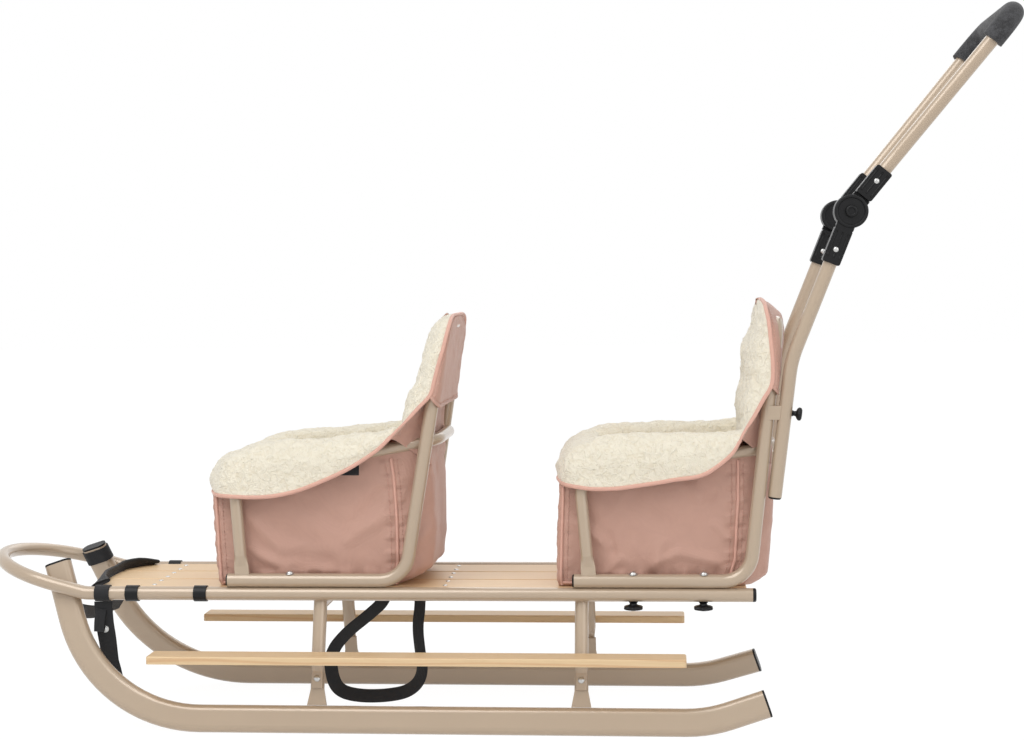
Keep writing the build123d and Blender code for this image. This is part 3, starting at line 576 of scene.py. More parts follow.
SEATS = {
    "front_seat": {
        "back": (
            (721, 0, 604, 602), (720.5, 28, 604, 596), (720, 55, 603.5, 588), (720, 78, 601, 576),
            (719.5, 96, 594, 560), (716, 110, 577, 543), (711, 114, 556, 528), (704, 116.5, 533, 512),
            (698, 118, 510, 495), (691, 119.5, 488, 476), (674, 120.5, 470, 454), (657, 121.5, 452, 428),
            (642, 122.5, 436.5, 392),
        ),
        "corner": (
            (632, 123.5, 427), (634, 122.5, 433), (637, 118, 438), (639, 108, 440), (638, 92, 440),
            (637, 79, 426), (637, 73, 380), (638, 50, 300), (640, 0, 300),
        ),
        "rim": (
            (606, 110, 0, 1, 16, 404, 434, 615), (575, 110, 0, 1, 17, 384.5, 430, 592),
            (530, 110, 0, 1, 17, 363.5, 424, 560), (485, 110, 0, 1, 17, 347.5, 422, 528),
            (445, 109, -0.1, 0.995, 18, 341, 419, 500), (420, 104, -0.35, 0.937, 24, 341, 414, 484),
            (406, 92, -0.72, 0.694, 40, 342.5, 408, 476), (400, 70, -0.95, 0.31, 44, 344, 405, 472),
            (400, 35, -1, 0, 44, 345.5, 404, 470), (400, 0, -1, 0, 44, 346, 404, 470),
        ),
        "front_profile": (
            (300, 640), (385, 643), (430, 646), (456, 648), (482, 650), (500, 663), (515, 674), (530, 673),
            (544, 675), (568, 682), (589, 691), (600, 701), (604, 705), (610, 713),
        ),
        "rear_profile": (
            (470, 703.5), (481, 705), (552, 716), (590, 722), (600, 722.5), (606, 721), (610, 720),
        ),
        "panel_profile": ((380, 684), (395, 686), (420, 684), (440, 683), (460, 685), (480, 690), (510, 695)),
        "bag_front": ((205, 369), (221, 365.5), (288, 362.5), (341, 359.8), (360, 360)),
        "bag_seam": (
            (205, 633), (222, 634.5), (244, 637.7), (303, 637), (362, 633.6), (402, 628.2), (410, 627),
        ),
        "bag_rear": (
            (205, 640), (212, 655), (219, 672), (231, 684), (264, 687.5), (330, 688), (395, 686), (415, 686),
        ),
        "bag_top": ((355, 348), (430, 352), (520, 372), (590, 398), (632, 408), (720, 414)),
        "folds": (
            (412, 262, 470, 232, 7, 3.2), (407, 316, 468, 258, 9, 2.6), (498, 338, 560, 286, 12, -2.2),
            (560, 272, 628, 318, 10, 2.6), (575, 300, 620, 352, 9, -2.0), (420, 222, 500, 226, 5, 2.0),
            (505, 230, 570, 224, 6, 2.2), (590, 226, 632, 220, 5, 1.8), (440, 300, 520, 268, 13, -1.8),
            (642, 250, 690, 300, 9, 2.4), (648, 330, 690, 380, 8, -2.0), (644, 300, 668, 262, 7, 2.0),
            (470, 250, 540, 244, 9, -1.6),
        ),
        "bolts": (480.0,),
        "tag": ((548.5, 372.0), (585.5, 388.0)),
    },
    "rear_seat": {
        "back": (
            (1174, 0, 622, 620), (1174.5, 26, 621.5, 614), (1175.5, 50, 620, 604), (1177, 74, 616, 591),
            (1178, 92, 608, 575), (1181, 108, 590, 557), (1184, 114, 560, 540), (1186, 116.5, 533, 522),
            (1186, 118, 512, 507), (1184, 119, 500, 492), (1172, 120.5, 479, 466), (1159, 121.5, 455.6, 436),
            (1147, 122.5, 437, 398),
        ),
        "corner": (
            (1140, 123.5, 424), (1143, 122.5, 430), (1146, 118, 434), (1148, 108, 435), (1147, 92, 432),
            (1145, 78, 416), (1144, 72, 370), (1144, 50, 300), (1145, 0, 300),
        ),
        "rim": (
            (1122, 110, 0, 1, 16, 397, 432, 1128), (1090, 110, 0, 1, 17, 374, 430, 1105),
            (1045, 110, 0, 1, 17, 365, 430, 1070), (995, 110, 0, 1, 17, 357, 430, 1035),
            (950, 109, -0.1, 0.995, 18, 352, 428, 1005), (929, 104, -0.35, 0.937, 24, 352.5, 425, 992),
            (914, 92, -0.72, 0.694, 36, 357, 421, 984), (908, 70, -0.95, 0.31, 35, 361, 417, 980),
            (908, 35, -1, 0, 34, 362, 416, 978), (908, 0, -1, 0, 34, 362, 416, 978),
        ),
        "front_profile": (
            (300, 1145), (398, 1143), (430, 1143), (455, 1143), (474.5, 1142), (500, 1150), (520, 1151),
            (541, 1148), (556, 1153), (572, 1162), (590, 1166), (605, 1168), (618, 1169), (625, 1171),
        ),
        "rear_profile": (
            (480, 1194), (541, 1201), (570, 1205), (588, 1206), (598, 1204), (608, 1197), (617, 1187),
            (625, 1177),
        ),
        "panel_profile": (
            (380, 1183), (395, 1184), (420, 1183), (440, 1183), (460, 1184), (480, 1187), (510, 1190),
        ),
        "bag_front": ((205, 874), (219, 872.3), (280, 874), (347, 876.6), (370, 877)),
        "bag_seam": ((205, 1122), (227, 1125.5), (245, 1131.4), (332, 1136.2), (398, 1136.5), (410, 1136)),
        "bag_rear": (
            (205, 1158), (212, 1170), (220, 1177), (253, 1181), (327, 1186), (397, 1186), (415, 1185),
        ),
        "bag_top": ((870, 364), (940, 362), (1030, 374), (1100, 392), (1140, 404), (1230, 410)),
        "folds": (
            (905, 300, 948, 264, 7, 3.0), (946, 286, 956, 252, 6, -2.4), (968, 250, 936, 222, 7, 2.6),
            (1026, 274, 1012, 230, 8, 3.0), (1066, 356, 1086, 332, 7, 2.6), (1088, 330, 1108, 344, 6, -2.0),
            (1010, 238, 1050, 256, 6, 2.2), (1050, 256, 1122, 238, 7, 2.4), (890, 330, 925, 300, 9, -2.2),
            (975, 330, 1035, 300, 12, -1.8), (1100, 300, 1130, 270, 7, 2.0), (930, 226, 1000, 222, 5, 1.8),
            (1146, 250, 1176, 300, 8, 2.2), (1150, 340, 1180, 380, 8, -1.8),
        ),
        "bolts": (984.0, 1086.0),
        "tag": None,
    },
}

RIM_HALF_WIDTH = 36.0
LINER_COLUMNS = 92
CREST_COLUMN = 30
LINER_BARE_EDGE, LINER_EDGE_FADE = 3, 12
WELD = 0.05

POCKET_HEM_ROW = 10
POCKET_DROP = 5.0
POCKET_SIDE = 18.0
POCKET_COLUMNS = 48
POCKET_STITCH_COLUMN = 4
POCKET_LUMPS = ((46.0, 2.4), (17.0, 1.0))
HEM_HALF_WIDTH, HEM_HALF_THICK = 2.6, 1.3
PANEL_FIRST_ROW = 8
PANEL_LOW = 384.0
PANEL_SIDE = 34.0
PANEL_LUMPS = ((40.0, 2.0), (15.0, 0.8))

BAG_HALF = 97.0
BAG_REAR_HALF = 80.0
BAG_LOW = 205.6
BAG_RISE = 200.0
BAG_LEVELS = 62
BAG_CORNER = 6.0
BAG_TUCK, TUCKED_LEVELS = 6.0, 4
BAG_LUMPS = ((52.0, 1.6), (19.0, 0.8))
SIDE_SWELL, FRONT_SWELL, REAR_SWELL = 4.5, 3.0, 4.0
SEAM_COLUMN_GAP = 3.0
SEAM_PUCKERS = (0.6, 2.0)
SEAM_SINK = 1.6
LOW_PUCKER, LOW_PUCKER_AT, LOW_PUCKER_WIDTH = 1.2, 0.09, 0.06
FOLD_STRENGTH = 1.7
FOLD_SPREAD = 1.15
FOLD_END = 0.15


def quarter(
    edge, half, edge_z, spine_z, profile, side, inward_first=False, bulge=0.0, crown=0.0, early_drop=False
):
    """A row of nine places from the liner's edge round a quarter turn, then straight to the middle."""
    heights, stations = zip(*profile)
    side = min(side, half)
    row = []
    for share in (0.0, 0.3, 0.55, 0.78, 1.0):
        turn = share * math.pi / 2
        over, down = math.sin(turn), 1 - math.cos(turn)
        if inward_first:
            over, down = down, over
        across = half - side * down + bulge * math.sin(2 * turn) * (half > side)
        drop = over if early_drop else (side * down) / max(half, 1e-6)
        height = edge_z + (spine_z - edge_z) * (drop if half > 0 else share)
        row.append((edge + (np.interp(height, heights, stations) - edge) * over, across, height))
    reach = half - side
    for share in (0.25, 0.5, 0.75, 1.0):
        across = reach * (1 - share)
        drop = 1.0 if early_drop else (half - across) / max(half, 1e-6)
        height = edge_z + (spine_z - edge_z) * drop
        station = np.interp(height, heights, stations)
        row.append((station - crown * (1 - (1 - share) ** 2) * (half > side), across, height))
    return row


def mirrored(rows):
    """Rows of the left side from the middle of the back to the middle of the front, and back on the right."""
    rows = np.array(rows, float)
    return np.concatenate((rows * MIRROR, rows[-2:0:-1]))


def liner_keys(seat):
    """Key rows of the fleece liner, from its edge over the hoop and down to the middle line."""
    rows = [quarter(*row, seat["front_profile"], RIM_HALF_WIDTH, crown=3.0) for row in seat["back"]]
    rows.append(seat["corner"])
    for station, half, out_x, out_y, out, hem, crest, spine in seat["rim"]:
        rise = crest - hem
        steps = (
            (out, hem), (0.98 * out + 3, hem + 0.33 * rise), (0.62 * out + 4, hem + 0.8 * rise), (0, crest),
            (-22, crest - 4), (-34, crest - 30), (-37, 262), (-50, 241),
        )
        row = [(station + out_x * far, half + out_y * far, height) for far, height in steps]
        rows.append(row + [(spine, 0, 238)])
    return rows


def lumps(place, octaves):
    """Noise at several widths, each (width, height) in millimetres."""
    return sum(height * noise.noise(Vector(place) / width) for width, height in octaves)


def raised(made, octaves, hold):
    """Moves a piece's points along its normals by lumps. hold gives each place's share."""
    mesh = made.data
    count = len(mesh.vertices)
    places = np.zeros(count * 3)
    mesh.vertices.foreach_get("co", places)
    places = places.reshape(-1, 3) / MM
    normals = np.array([vertex.normal for vertex in mesh.vertices])
    heights = np.array([lumps(place, octaves) for place in places]) * hold(places)
    places += normals * heights[:, None]
    mesh.vertices.foreach_set("co", (places * MM).ravel())
    mesh.update()


def distance_to(places, path):
    """Each place's distance from the nearest point of a path."""
    nearest = np.full(len(places), 1e9)
    for start in range(0, len(places), 4000):
        some = places[start : start + 4000]
        gaps = np.linalg.norm(some[:, None] - path[None], axis=2)
        nearest[start : start + 4000] = gaps.min(axis=1)
    return nearest


def make_liner(name, seat, finishes, sizes):
    """The fleece liner of a seat and its binding."""
    ring = eased(placed(mirrored(liner_keys(seat))), 8, ring=True)
    rows = np.array([spread(eased(row, 12), LINER_COLUMNS) for row in ring])
    liner = piece(
        f"{name}_liner", grid(rows, ring=True), finishes["fleece"],
        thickness=sizes.liner, second=finishes["cloth"],
    )
    welded(liner, WELD)
    crest = Vector(rows[len(rows) // 4, CREST_COLUMN])
    near = min(liner.data.vertices, key=lambda vertex: (vertex.co / MM - crest).length)
    if near.normal.z < 0:
        liner.data.flip_normals()
    edge = rows[:, 0]

    def hold(places):
        """No lumps at the bound edge, and all of them a little way in."""
        return np.clip((distance_to(places, edge[::2]) - LINER_BARE_EDGE) / LINER_EDGE_FADE, 0, 1)

    raised(liner, ((38.0, 3.4), (12.0, sizes.pile / MM), (5.0, 1.3)), hold)
    binding = sizes.binding / MM
    shape = sweep(edge, binding, binding * 0.72, across=rows[:, 3] - edge, sides=12, ring=True)
    piece(f"{name}_binding", shape, finishes["piping"])
    return liner


def make_back(name, seat, finishes, sizes):
    """The pocket over the top of the seat's back, and the panel behind the fleece. Returns the stitches."""
    half_keys = np.array([
        quarter(
            edge, half, edge_z, spine_z - POCKET_DROP, seat["rear_profile"], POCKET_SIDE,
            bulge=3.0, early_drop=True,
        )
        for edge, half, edge_z, spine_z in seat["back"][:POCKET_HEM_ROW]
    ])
    rows = eased(placed(np.concatenate(((half_keys * MIRROR)[::-1], half_keys[1:]))), 8)
    rows = np.array([spread(eased(row, 10), POCKET_COLUMNS) for row in rows])
    heights = [
        [lumps(point, POCKET_LUMPS) * min(1, column / 6) for column, point in enumerate(row)] for row in rows
    ]
    rows += normals_of(rows) * np.array(heights)[..., None]
    pocket = piece(f"{name}_pocket", grid(rows), finishes["cloth"], thickness=sizes.cloth)
    welded(pocket, WELD)

    normals = normals_of(rows)
    if normals[len(rows) // 4, 10, 0] <= 0:
        normals = -normals
    spacing = sizes.stitch / MM
    thread = stitches(rows[:, POCKET_STITCH_COLUMN], normals[:, POCKET_STITCH_COLUMN], spacing)
    for row in (2, -3):
        thread += stitches(rows[row], normals[row], spacing)
    hems = [
        sweep(rows[row], HEM_HALF_WIDTH, HEM_HALF_THICK, across=rows[inner] - rows[row], sides=8)
        for row, inner in ((0, 1), (-1, -2))
    ]

    turns = seat["back"][PANEL_FIRST_ROW:] + ((*seat["corner"][0], PANEL_LOW),)
    half_panel = np.array([
        quarter(*row, seat["panel_profile"], PANEL_SIDE, inward_first=True, early_drop=True) for row in turns
    ])
    sides = [
        grid([spread(eased(row, 8), 30) for row in eased(placed(half_panel * (1, side, 1)), 6)])
        for side, _name in SIDES
    ]
    back = piece(
        f"{name}_back_panel", joined(sides), finishes["cloth"], thickness=sizes.cloth
    )
    welded(back, WELD)
    raised(back, PANEL_LUMPS, lambda places: np.ones(len(places)))
    piece(f"{name}_pocket_hem", joined(hems), finishes["cloth"])
    return thread


def fold_heights(places, folds, flip):
    """How far the folds of the cloth raise each (station, height)."""
    heights = np.zeros(len(places))
    low, high = places[:, 0].min(), places[:, 0].max()
    for from_station, from_z, to_station, to_z, width, height in folds:
        start = np.array((from_station + STATION_ZERO, from_z), float)
        end = np.array((to_station + STATION_ZERO, to_z), float)
        if flip:
            start[0], end[0] = low + high - start[0], low + high - end[0]
        run = end - start
        share = ((places - start) @ run) / (run @ run)
        gap = np.linalg.norm(places - (start + np.clip(share, 0, 1)[:, None] * run), axis=1)
        held = np.clip(share, -FOLD_END, 1 + FOLD_END)
        fade = np.sin((held + FOLD_END) / (1 + 2 * FOLD_END) * math.pi) ** 0.7
        heights += FOLD_STRENGTH * height * np.exp(-((gap / (FOLD_SPREAD * width)) ** 2)) * fade
    return heights


def bag_plan(seat):
    """Half of the bag's loops, level by level, and the columns of its front and rear seams."""
    front_z, front_x = zip(*seat["bag_front"])
    seam_z, seam_x = zip(*seat["bag_seam"])
    rear_z, rear_x = zip(*seat["bag_rear"])
    top_x, top_z = zip(*seat["bag_top"])
    loops = []
    for level in range(BAG_LEVELS):
        share = level / (BAG_LEVELS - 1)
        height = BAG_LOW + BAG_RISE * share
        front, seam = np.interp(height, front_z, front_x), np.interp(height, seam_z, seam_x)
        rear = np.interp(height, rear_z, rear_x)
        arc = [
            (front + BAG_CORNER * (1 - math.cos(turn)), BAG_HALF - BAG_CORNER * (1 - math.sin(turn)))
            for turn in np.linspace(0, math.pi / 2, 5)
        ]
        gusset_keys = (
            (seam, BAG_HALF), (seam + 0.3 * (rear - seam), BAG_HALF - 2.5), (rear - 14, BAG_REAR_HALF + 6),
            (rear - 3, BAG_REAR_HALF - 5), (rear, BAG_REAR_HALF - 18),
        )
        lines = (
            [(front, across) for across in np.linspace(0, BAG_HALF - BAG_CORNER, 18)],
            arc[1:],
            [(station, BAG_HALF) for station in np.linspace(front + BAG_CORNER, seam, 86)[1:]],
            list(eased(gusset_keys, 6)[1:]),
            [(rear, across) for across in np.linspace(BAG_REAR_HALF - 18, 0, 12)[1:]],
        )
        loop = np.array([point for line in lines for point in line], float)
        heights = BAG_LOW + (np.interp(loop[:, 0], top_x, top_z) - BAG_LOW) * share
        loops.append(np.column_stack((loop, heights)))
    half = np.array(loops)
    # Each level's plan is read again at the height that the level has there.
    plan_levels = BAG_LOW + BAG_RISE * np.linspace(0, 1, BAG_LEVELS)
    for column in range(half.shape[1]):
        for axis in (0, 1):
            half[:, column, axis] = np.interp(half[:, column, 2], plan_levels, half[:, column, axis])
    for level in range(TUCKED_LEVELS):
        pinch = BAG_TUCK * (1 - math.sin((level + 1) / (TUCKED_LEVELS + 1) * math.pi / 2))
        half[level, :, 1] *= 1 - pinch / BAG_HALF
    ends = np.cumsum([len(line) for line in lines])
    return half, (ends[1] - 1, ends[2] - 1)


def bag_swell(seat, whole, count, seams):
    """How far the cloth stands out from its plan: its fullness, folds, puckers and lumps."""
    seam_front, seam_rear = seams
    share_up = np.linspace(0, 1, BAG_LEVELS)[:, None]
    columns = np.arange(whole.shape[1])
    folded = np.minimum(columns, whole.shape[1] - columns)
    on_front = np.clip(folded / seam_front, 0, 1)
    on_side = np.clip((folded - seam_front) / (seam_rear - seam_front), 0, 1)
    on_rear = np.clip((folded - seam_rear) / (count - 1 - seam_rear), 0, 1)
    upward = np.sin(math.pi * share_up)
    swell = SIDE_SWELL * np.sin(math.pi * on_side) ** 0.8 * upward**0.7
    swell = swell + FRONT_SWELL * np.cos(on_front * math.pi / 2) * upward
    swell = swell + REAR_SWELL * np.sin(math.pi * on_rear) * upward
    for side, _name in SIDES:
        chosen = columns[(folded > 0) & (folded < count - 1) & ((columns < count) == (side < 0))]
        flat = whole[:, chosen].reshape(-1, 3)[:, (0, 2)]
        swell[:, chosen] += fold_heights(flat, seat["folds"], side > 0).reshape(BAG_LEVELS, -1)
    stations, heights = whole[..., 0], whole[..., 2]
    for seam, pucker in zip(seams, SEAM_PUCKERS):
        gap = np.abs(folded - seam) * SEAM_COLUMN_GAP
        wave = np.sin(heights * TURN / 27 + seam) + 0.5 * np.sin(heights * TURN / 11)
        swell = swell + pucker * wave * np.exp(-(((gap - 9) / 7) ** 2))
        swell = swell - SEAM_SINK * np.exp(-((gap / 4) ** 2))
    low_wave = np.sin(stations * TURN / 31) + 0.6 * np.sin(stations * TURN / 13)
    swell = swell + LOW_PUCKER * low_wave * np.exp(-(((share_up - LOW_PUCKER_AT) / LOW_PUCKER_WIDTH) ** 2))
    fine = np.array([[lumps(point, BAG_LUMPS) for point in row] for row in whole])
    return (swell + fine) * np.clip(share_up / 0.05, 0, 1)


def make_bag(name, seat, finishes, sizes):
    """The cloth bag below the liner, with the piping in its seams. Returns the bag and its stitches."""
    half, seams = bag_plan(seat)
    count = half.shape[1]
    whole = placed(np.concatenate((half * MIRROR, half[:, -2:0:-1]), axis=1))
    around = whole.shape[1]
    beside = np.roll(whole, -1, axis=1) - np.roll(whole, 1, axis=1)
    normals = unit(np.cross(beside, np.gradient(whole, axis=0)))
    if ((whole - whole.mean(axis=(0, 1))) * normals).sum() < 0:
        normals = -normals
    whole = whole + normals * bag_swell(seat, whole, count, seams)[..., None]
    whole[0] = whole[0] * (1, 1, 0) + (0, 0, BAG_LOW)
    points, faces = grid(whole, tube=True)
    faces.append(tuple(range(around))[::-1])
    bag = piece(
        f"{name}_cloth_bag", (points, faces), finishes["cloth"], thickness=sizes.cloth
    )
    work = bmesh.new()
    work.from_mesh(bag.data)
    bmesh.ops.triangulate(work, faces=[face for face in work.faces if len(face.verts) > 4])
    bmesh.ops.recalc_face_normals(work, faces=work.faces)
    work.to_mesh(bag.data)
    work.free()
    round(perimeter(whole[BAG_LEVELS // 2]) * MM, 3)

    def lifted(levels, chosen, lift):
        """Places of the cloth, a little outside it, and their normals."""
        outward = normals[levels, chosen]
        return whole[levels, chosen] + outward * lift, outward

    cords, thread = [], []
    piping, spacing = sizes.piping / MM, sizes.stitch / MM
    seam_front, seam_rear = seams
    top = BAG_LEVELS - 4
    for column in (seam_front, seam_rear, around - seam_front, around - seam_rear):
        path, _outward = lifted(slice(1, top), column, 1.2)
        cords.append(sweep(path, piping, piping, sides=10))
        inward = 3 if column < count else -3
        at_front = column in (seam_front, around - seam_front)
        for offset in (inward,) if at_front else (-3, 3):
            thread += stitches(*lifted(slice(3, top), (column + offset) % around, 0.2), spacing)
    for side, _name in SIDES:
        chosen = np.arange(seam_front, seam_rear + 1)
        chosen = chosen if side < 0 else (around - chosen) % around
        path, _outward = lifted(2, chosen, 1.0)
        cords.append(sweep(path, piping * 0.9, piping * 0.9, sides=10))
        thread += stitches(*lifted(5, chosen, 0.0), spacing)
    piece(f"{name}_bag_piping", joined(cords), finishes["piping"])
    return bag, thread


def perimeter(loop):
    """Length round a closed row of points."""
    return float(np.linalg.norm(np.roll(loop, -1, axis=0) - loop, axis=1).sum())


# Operators


class SLED_OT_stage(bpy.types.Operator):
    """Set the camera, the soft lamps, the floor and the world"""

    bl_idname = "sled.stage"
    bl_label = "Studio"

    CAMERA_PLACE = (0.267180, -2.735306, 0.662184)
    YAW, PITCH, ROLL = -0.0861, 0.0524, -0.012
    LENS, SENSOR = 63.88, 36.0
    LAMPS = (
        ("key_lamp", (-1.2, -1.9, 3.2), 2.4, 62.0),
        ("fill_lamp", (2.6, -2.2, 1.8), 2.6, 22.0),
        ("back_lamp", (0.3, 2.6, 2.6), 2.8, 24.0),
    )
    WORLD_STRENGTH = 0.50
    FLOOR_SHARE = 0.90
    FLOOR_GLOW = 1.07
    FLOOR_REACH = 14.0
    LAMP_AIM = (0.0, 0.0, 0.35)

    def execute(self, context):
        scene = context.scene
        yaw, pitch = self.YAW, self.PITCH
        ahead = Vector((math.sin(yaw) * math.cos(pitch), math.cos(yaw) * math.cos(pitch), -math.sin(pitch)))
        level = Vector((math.cos(yaw), -math.sin(yaw), 0))
        upright = level.cross(ahead)
        right = level * math.cos(self.ROLL) + upright * math.sin(self.ROLL)
        above = upright * math.cos(self.ROLL) - level * math.sin(self.ROLL)
        camera = bpy.data.objects.new("camera", bpy.data.cameras.new("camera"))
        camera.data.lens, camera.data.sensor_width = self.LENS, self.SENSOR
        camera.data.sensor_fit = "HORIZONTAL"
        turn = Matrix((right, above, -ahead)).transposed().to_4x4()
        camera.matrix_world = Matrix.Translation(self.CAMERA_PLACE) @ turn
        scene.collection.objects.link(camera)
        scene.camera = camera
        scene.view_settings.view_transform = "Standard"

        aim = Vector(self.LAMP_AIM)
        for name, place, size, power in self.LAMPS:
            light = bpy.data.lights.new(name, "AREA")
            light.shape, light.size, light.energy = "SQUARE", size, power
            lamp = bpy.data.objects.new(name, light)
            lamp.location = place
            lamp.rotation_euler = (aim - Vector(place)).to_track_quat("-Z", "Y").to_euler()
            scene.collection.objects.link(lamp)

        world = bpy.data.worlds.new("studio")
        scene.world = world
        world.use_nodes = True
        tree = world.node_tree
        seen = tree.nodes.new("ShaderNodeLightPath")
        either = self.seen_share(tree, seen)
        strength = tree.nodes.new("ShaderNodeMapRange")
        tree.links.new(either, strength.inputs["Value"])
        strength.inputs["To Min"].default_value = self.WORLD_STRENGTH
        strength.inputs["To Max"].default_value = 1.0
        backdrop = tree.nodes["Background"]
        backdrop.inputs["Color"].default_value = (1, 1, 1, 1)
        tree.links.new(strength.outputs[0], backdrop.inputs["Strength"])

        mesh = bpy.data.meshes.new("floor")
        reach = self.FLOOR_REACH
        corners = [(-reach, -reach, 0), (reach, -reach, 0), (reach, reach, 0), (-reach, reach, 0)]
        mesh.from_pydata(corners, [], [(0, 1, 2, 3)])
        floor = bpy.data.objects.new("floor", mesh)
        scene.collection.objects.link(floor)
        floor.data.materials.append(self.floor_finish(scene.sled_colours.floor))
        return {"FINISHED"}

    @staticmethod
    def seen_share(tree, seen):
        """1 for rays that reach the eye straight, or by gloss or glass."""
        either = seen.outputs["Is Camera Ray"]
        for ray in ("Is Glossy Ray", "Is Transmission Ray"):
            most = tree.nodes.new("ShaderNodeMath")
            most.operation = "MAXIMUM"
            tree.links.new(either, most.inputs[0])
            tree.links.new(seen.outputs[ray], most.inputs[1])
            either = most.outputs[0]
        return either

    def floor_finish(self, colour):
        material = bpy.data.materials.new("studio_floor")
        material.use_nodes = True
        tree = material.node_tree
        tree.nodes.clear()
        seen = tree.nodes.new("ShaderNodeLightPath")
        plain = tree.nodes.new("ShaderNodeBsdfDiffuse")
        plain.inputs["Color"].default_value = (*colour, 1)
        white = tree.nodes.new("ShaderNodeEmission")
        white.inputs["Strength"].default_value = self.FLOOR_GLOW
        blend = tree.nodes.new("ShaderNodeMixShader")
        share = tree.nodes.new("ShaderNodeMath")
        share.operation = "MULTIPLY"
        share.inputs[1].default_value = self.FLOOR_SHARE
        out = tree.nodes.new("ShaderNodeOutputMaterial")
        tree.links.new(self.seen_share(tree, seen), share.inputs[0])
        tree.links.new(share.outputs[0], blend.inputs[0])
        tree.links.new(plain.outputs[0], blend.inputs[1])
        tree.links.new(white.outputs[0], blend.inputs[2])
        tree.links.new(blend.outputs[0], out.inputs[0])
        return material


FINISHES = {}


class SLED_OT_finishes(bpy.types.Operator):
    """Make the sled's materials and give them to the CAD pieces"""

    bl_idname = "sled.finishes"
    bl_label = "Finishes"

    NODE_FINISHES = {
        "paint": (
            "deck_rail_loop", "runner_left", "runner_right", "legs_front", "legs_rear", "leg_brackets",
            "front_seat_frame", "front_seat_hoop", "rear_seat_frame", "rear_seat_hoop", "pusher_tube_left",
            "pusher_tube_right", "handle_tube", "deck_battens", "pusher_clamps",
        ),
        "pine": ("slat_left", "slat_middle", "slat_right", "footboard_left", "footboard_right"),
        "plastic": (
            "hinge_lower_left", "hinge_lower_right", "hinge_upper_left", "hinge_upper_right",
            "rail_plugs", "runner_caps",
        ),
        "band": ("rail_bands",),
        "foam": ("handle_grip",),
        "webbing": ("strap_wraps",),
    }

    def execute(self, context):
        colours, sizes = context.scene.sled_colours, context.scene.sled_sizes
        FINISHES.update(
            paint=painted_finish(colours),
            pine=pine_finish(colours),
            cloth=cloth_finish("seat_cloth", colours.cloth, sizes),
            piping=cloth_finish("piping_cloth", colours.piping, sizes, sheen=0.35),
            fleece=fleece_finish(colours),
            webbing=webbing_finish("webbing", colours.webbing, sizes.twill),
            band=moulded_finish("band_rubber", colours.plastic, 0.36, 1500.0),
            plastic=moulded_finish("black_plastic", colours.plastic, 0.34, 1800.0),
            foam=foam_finish(colours),
            zinc=zinc_finish(colours),
            thread=webbing_finish("thread", shaded(colours.piping, 0.86), sizes.twill * 0.5),
            tag=webbing_finish("tag_ribbon", shaded(colours.webbing, 0.9), sizes.twill * 0.4),
        )
        for finish, nodes in self.NODE_FINISHES.items():
            for node in nodes:
                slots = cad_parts[node].data.materials
                if slots:
                    for index in range(len(slots)):
                        slots[index] = FINISHES[finish]
                else:
                    slots.append(FINISHES[finish])
        return {"FINISHED"}


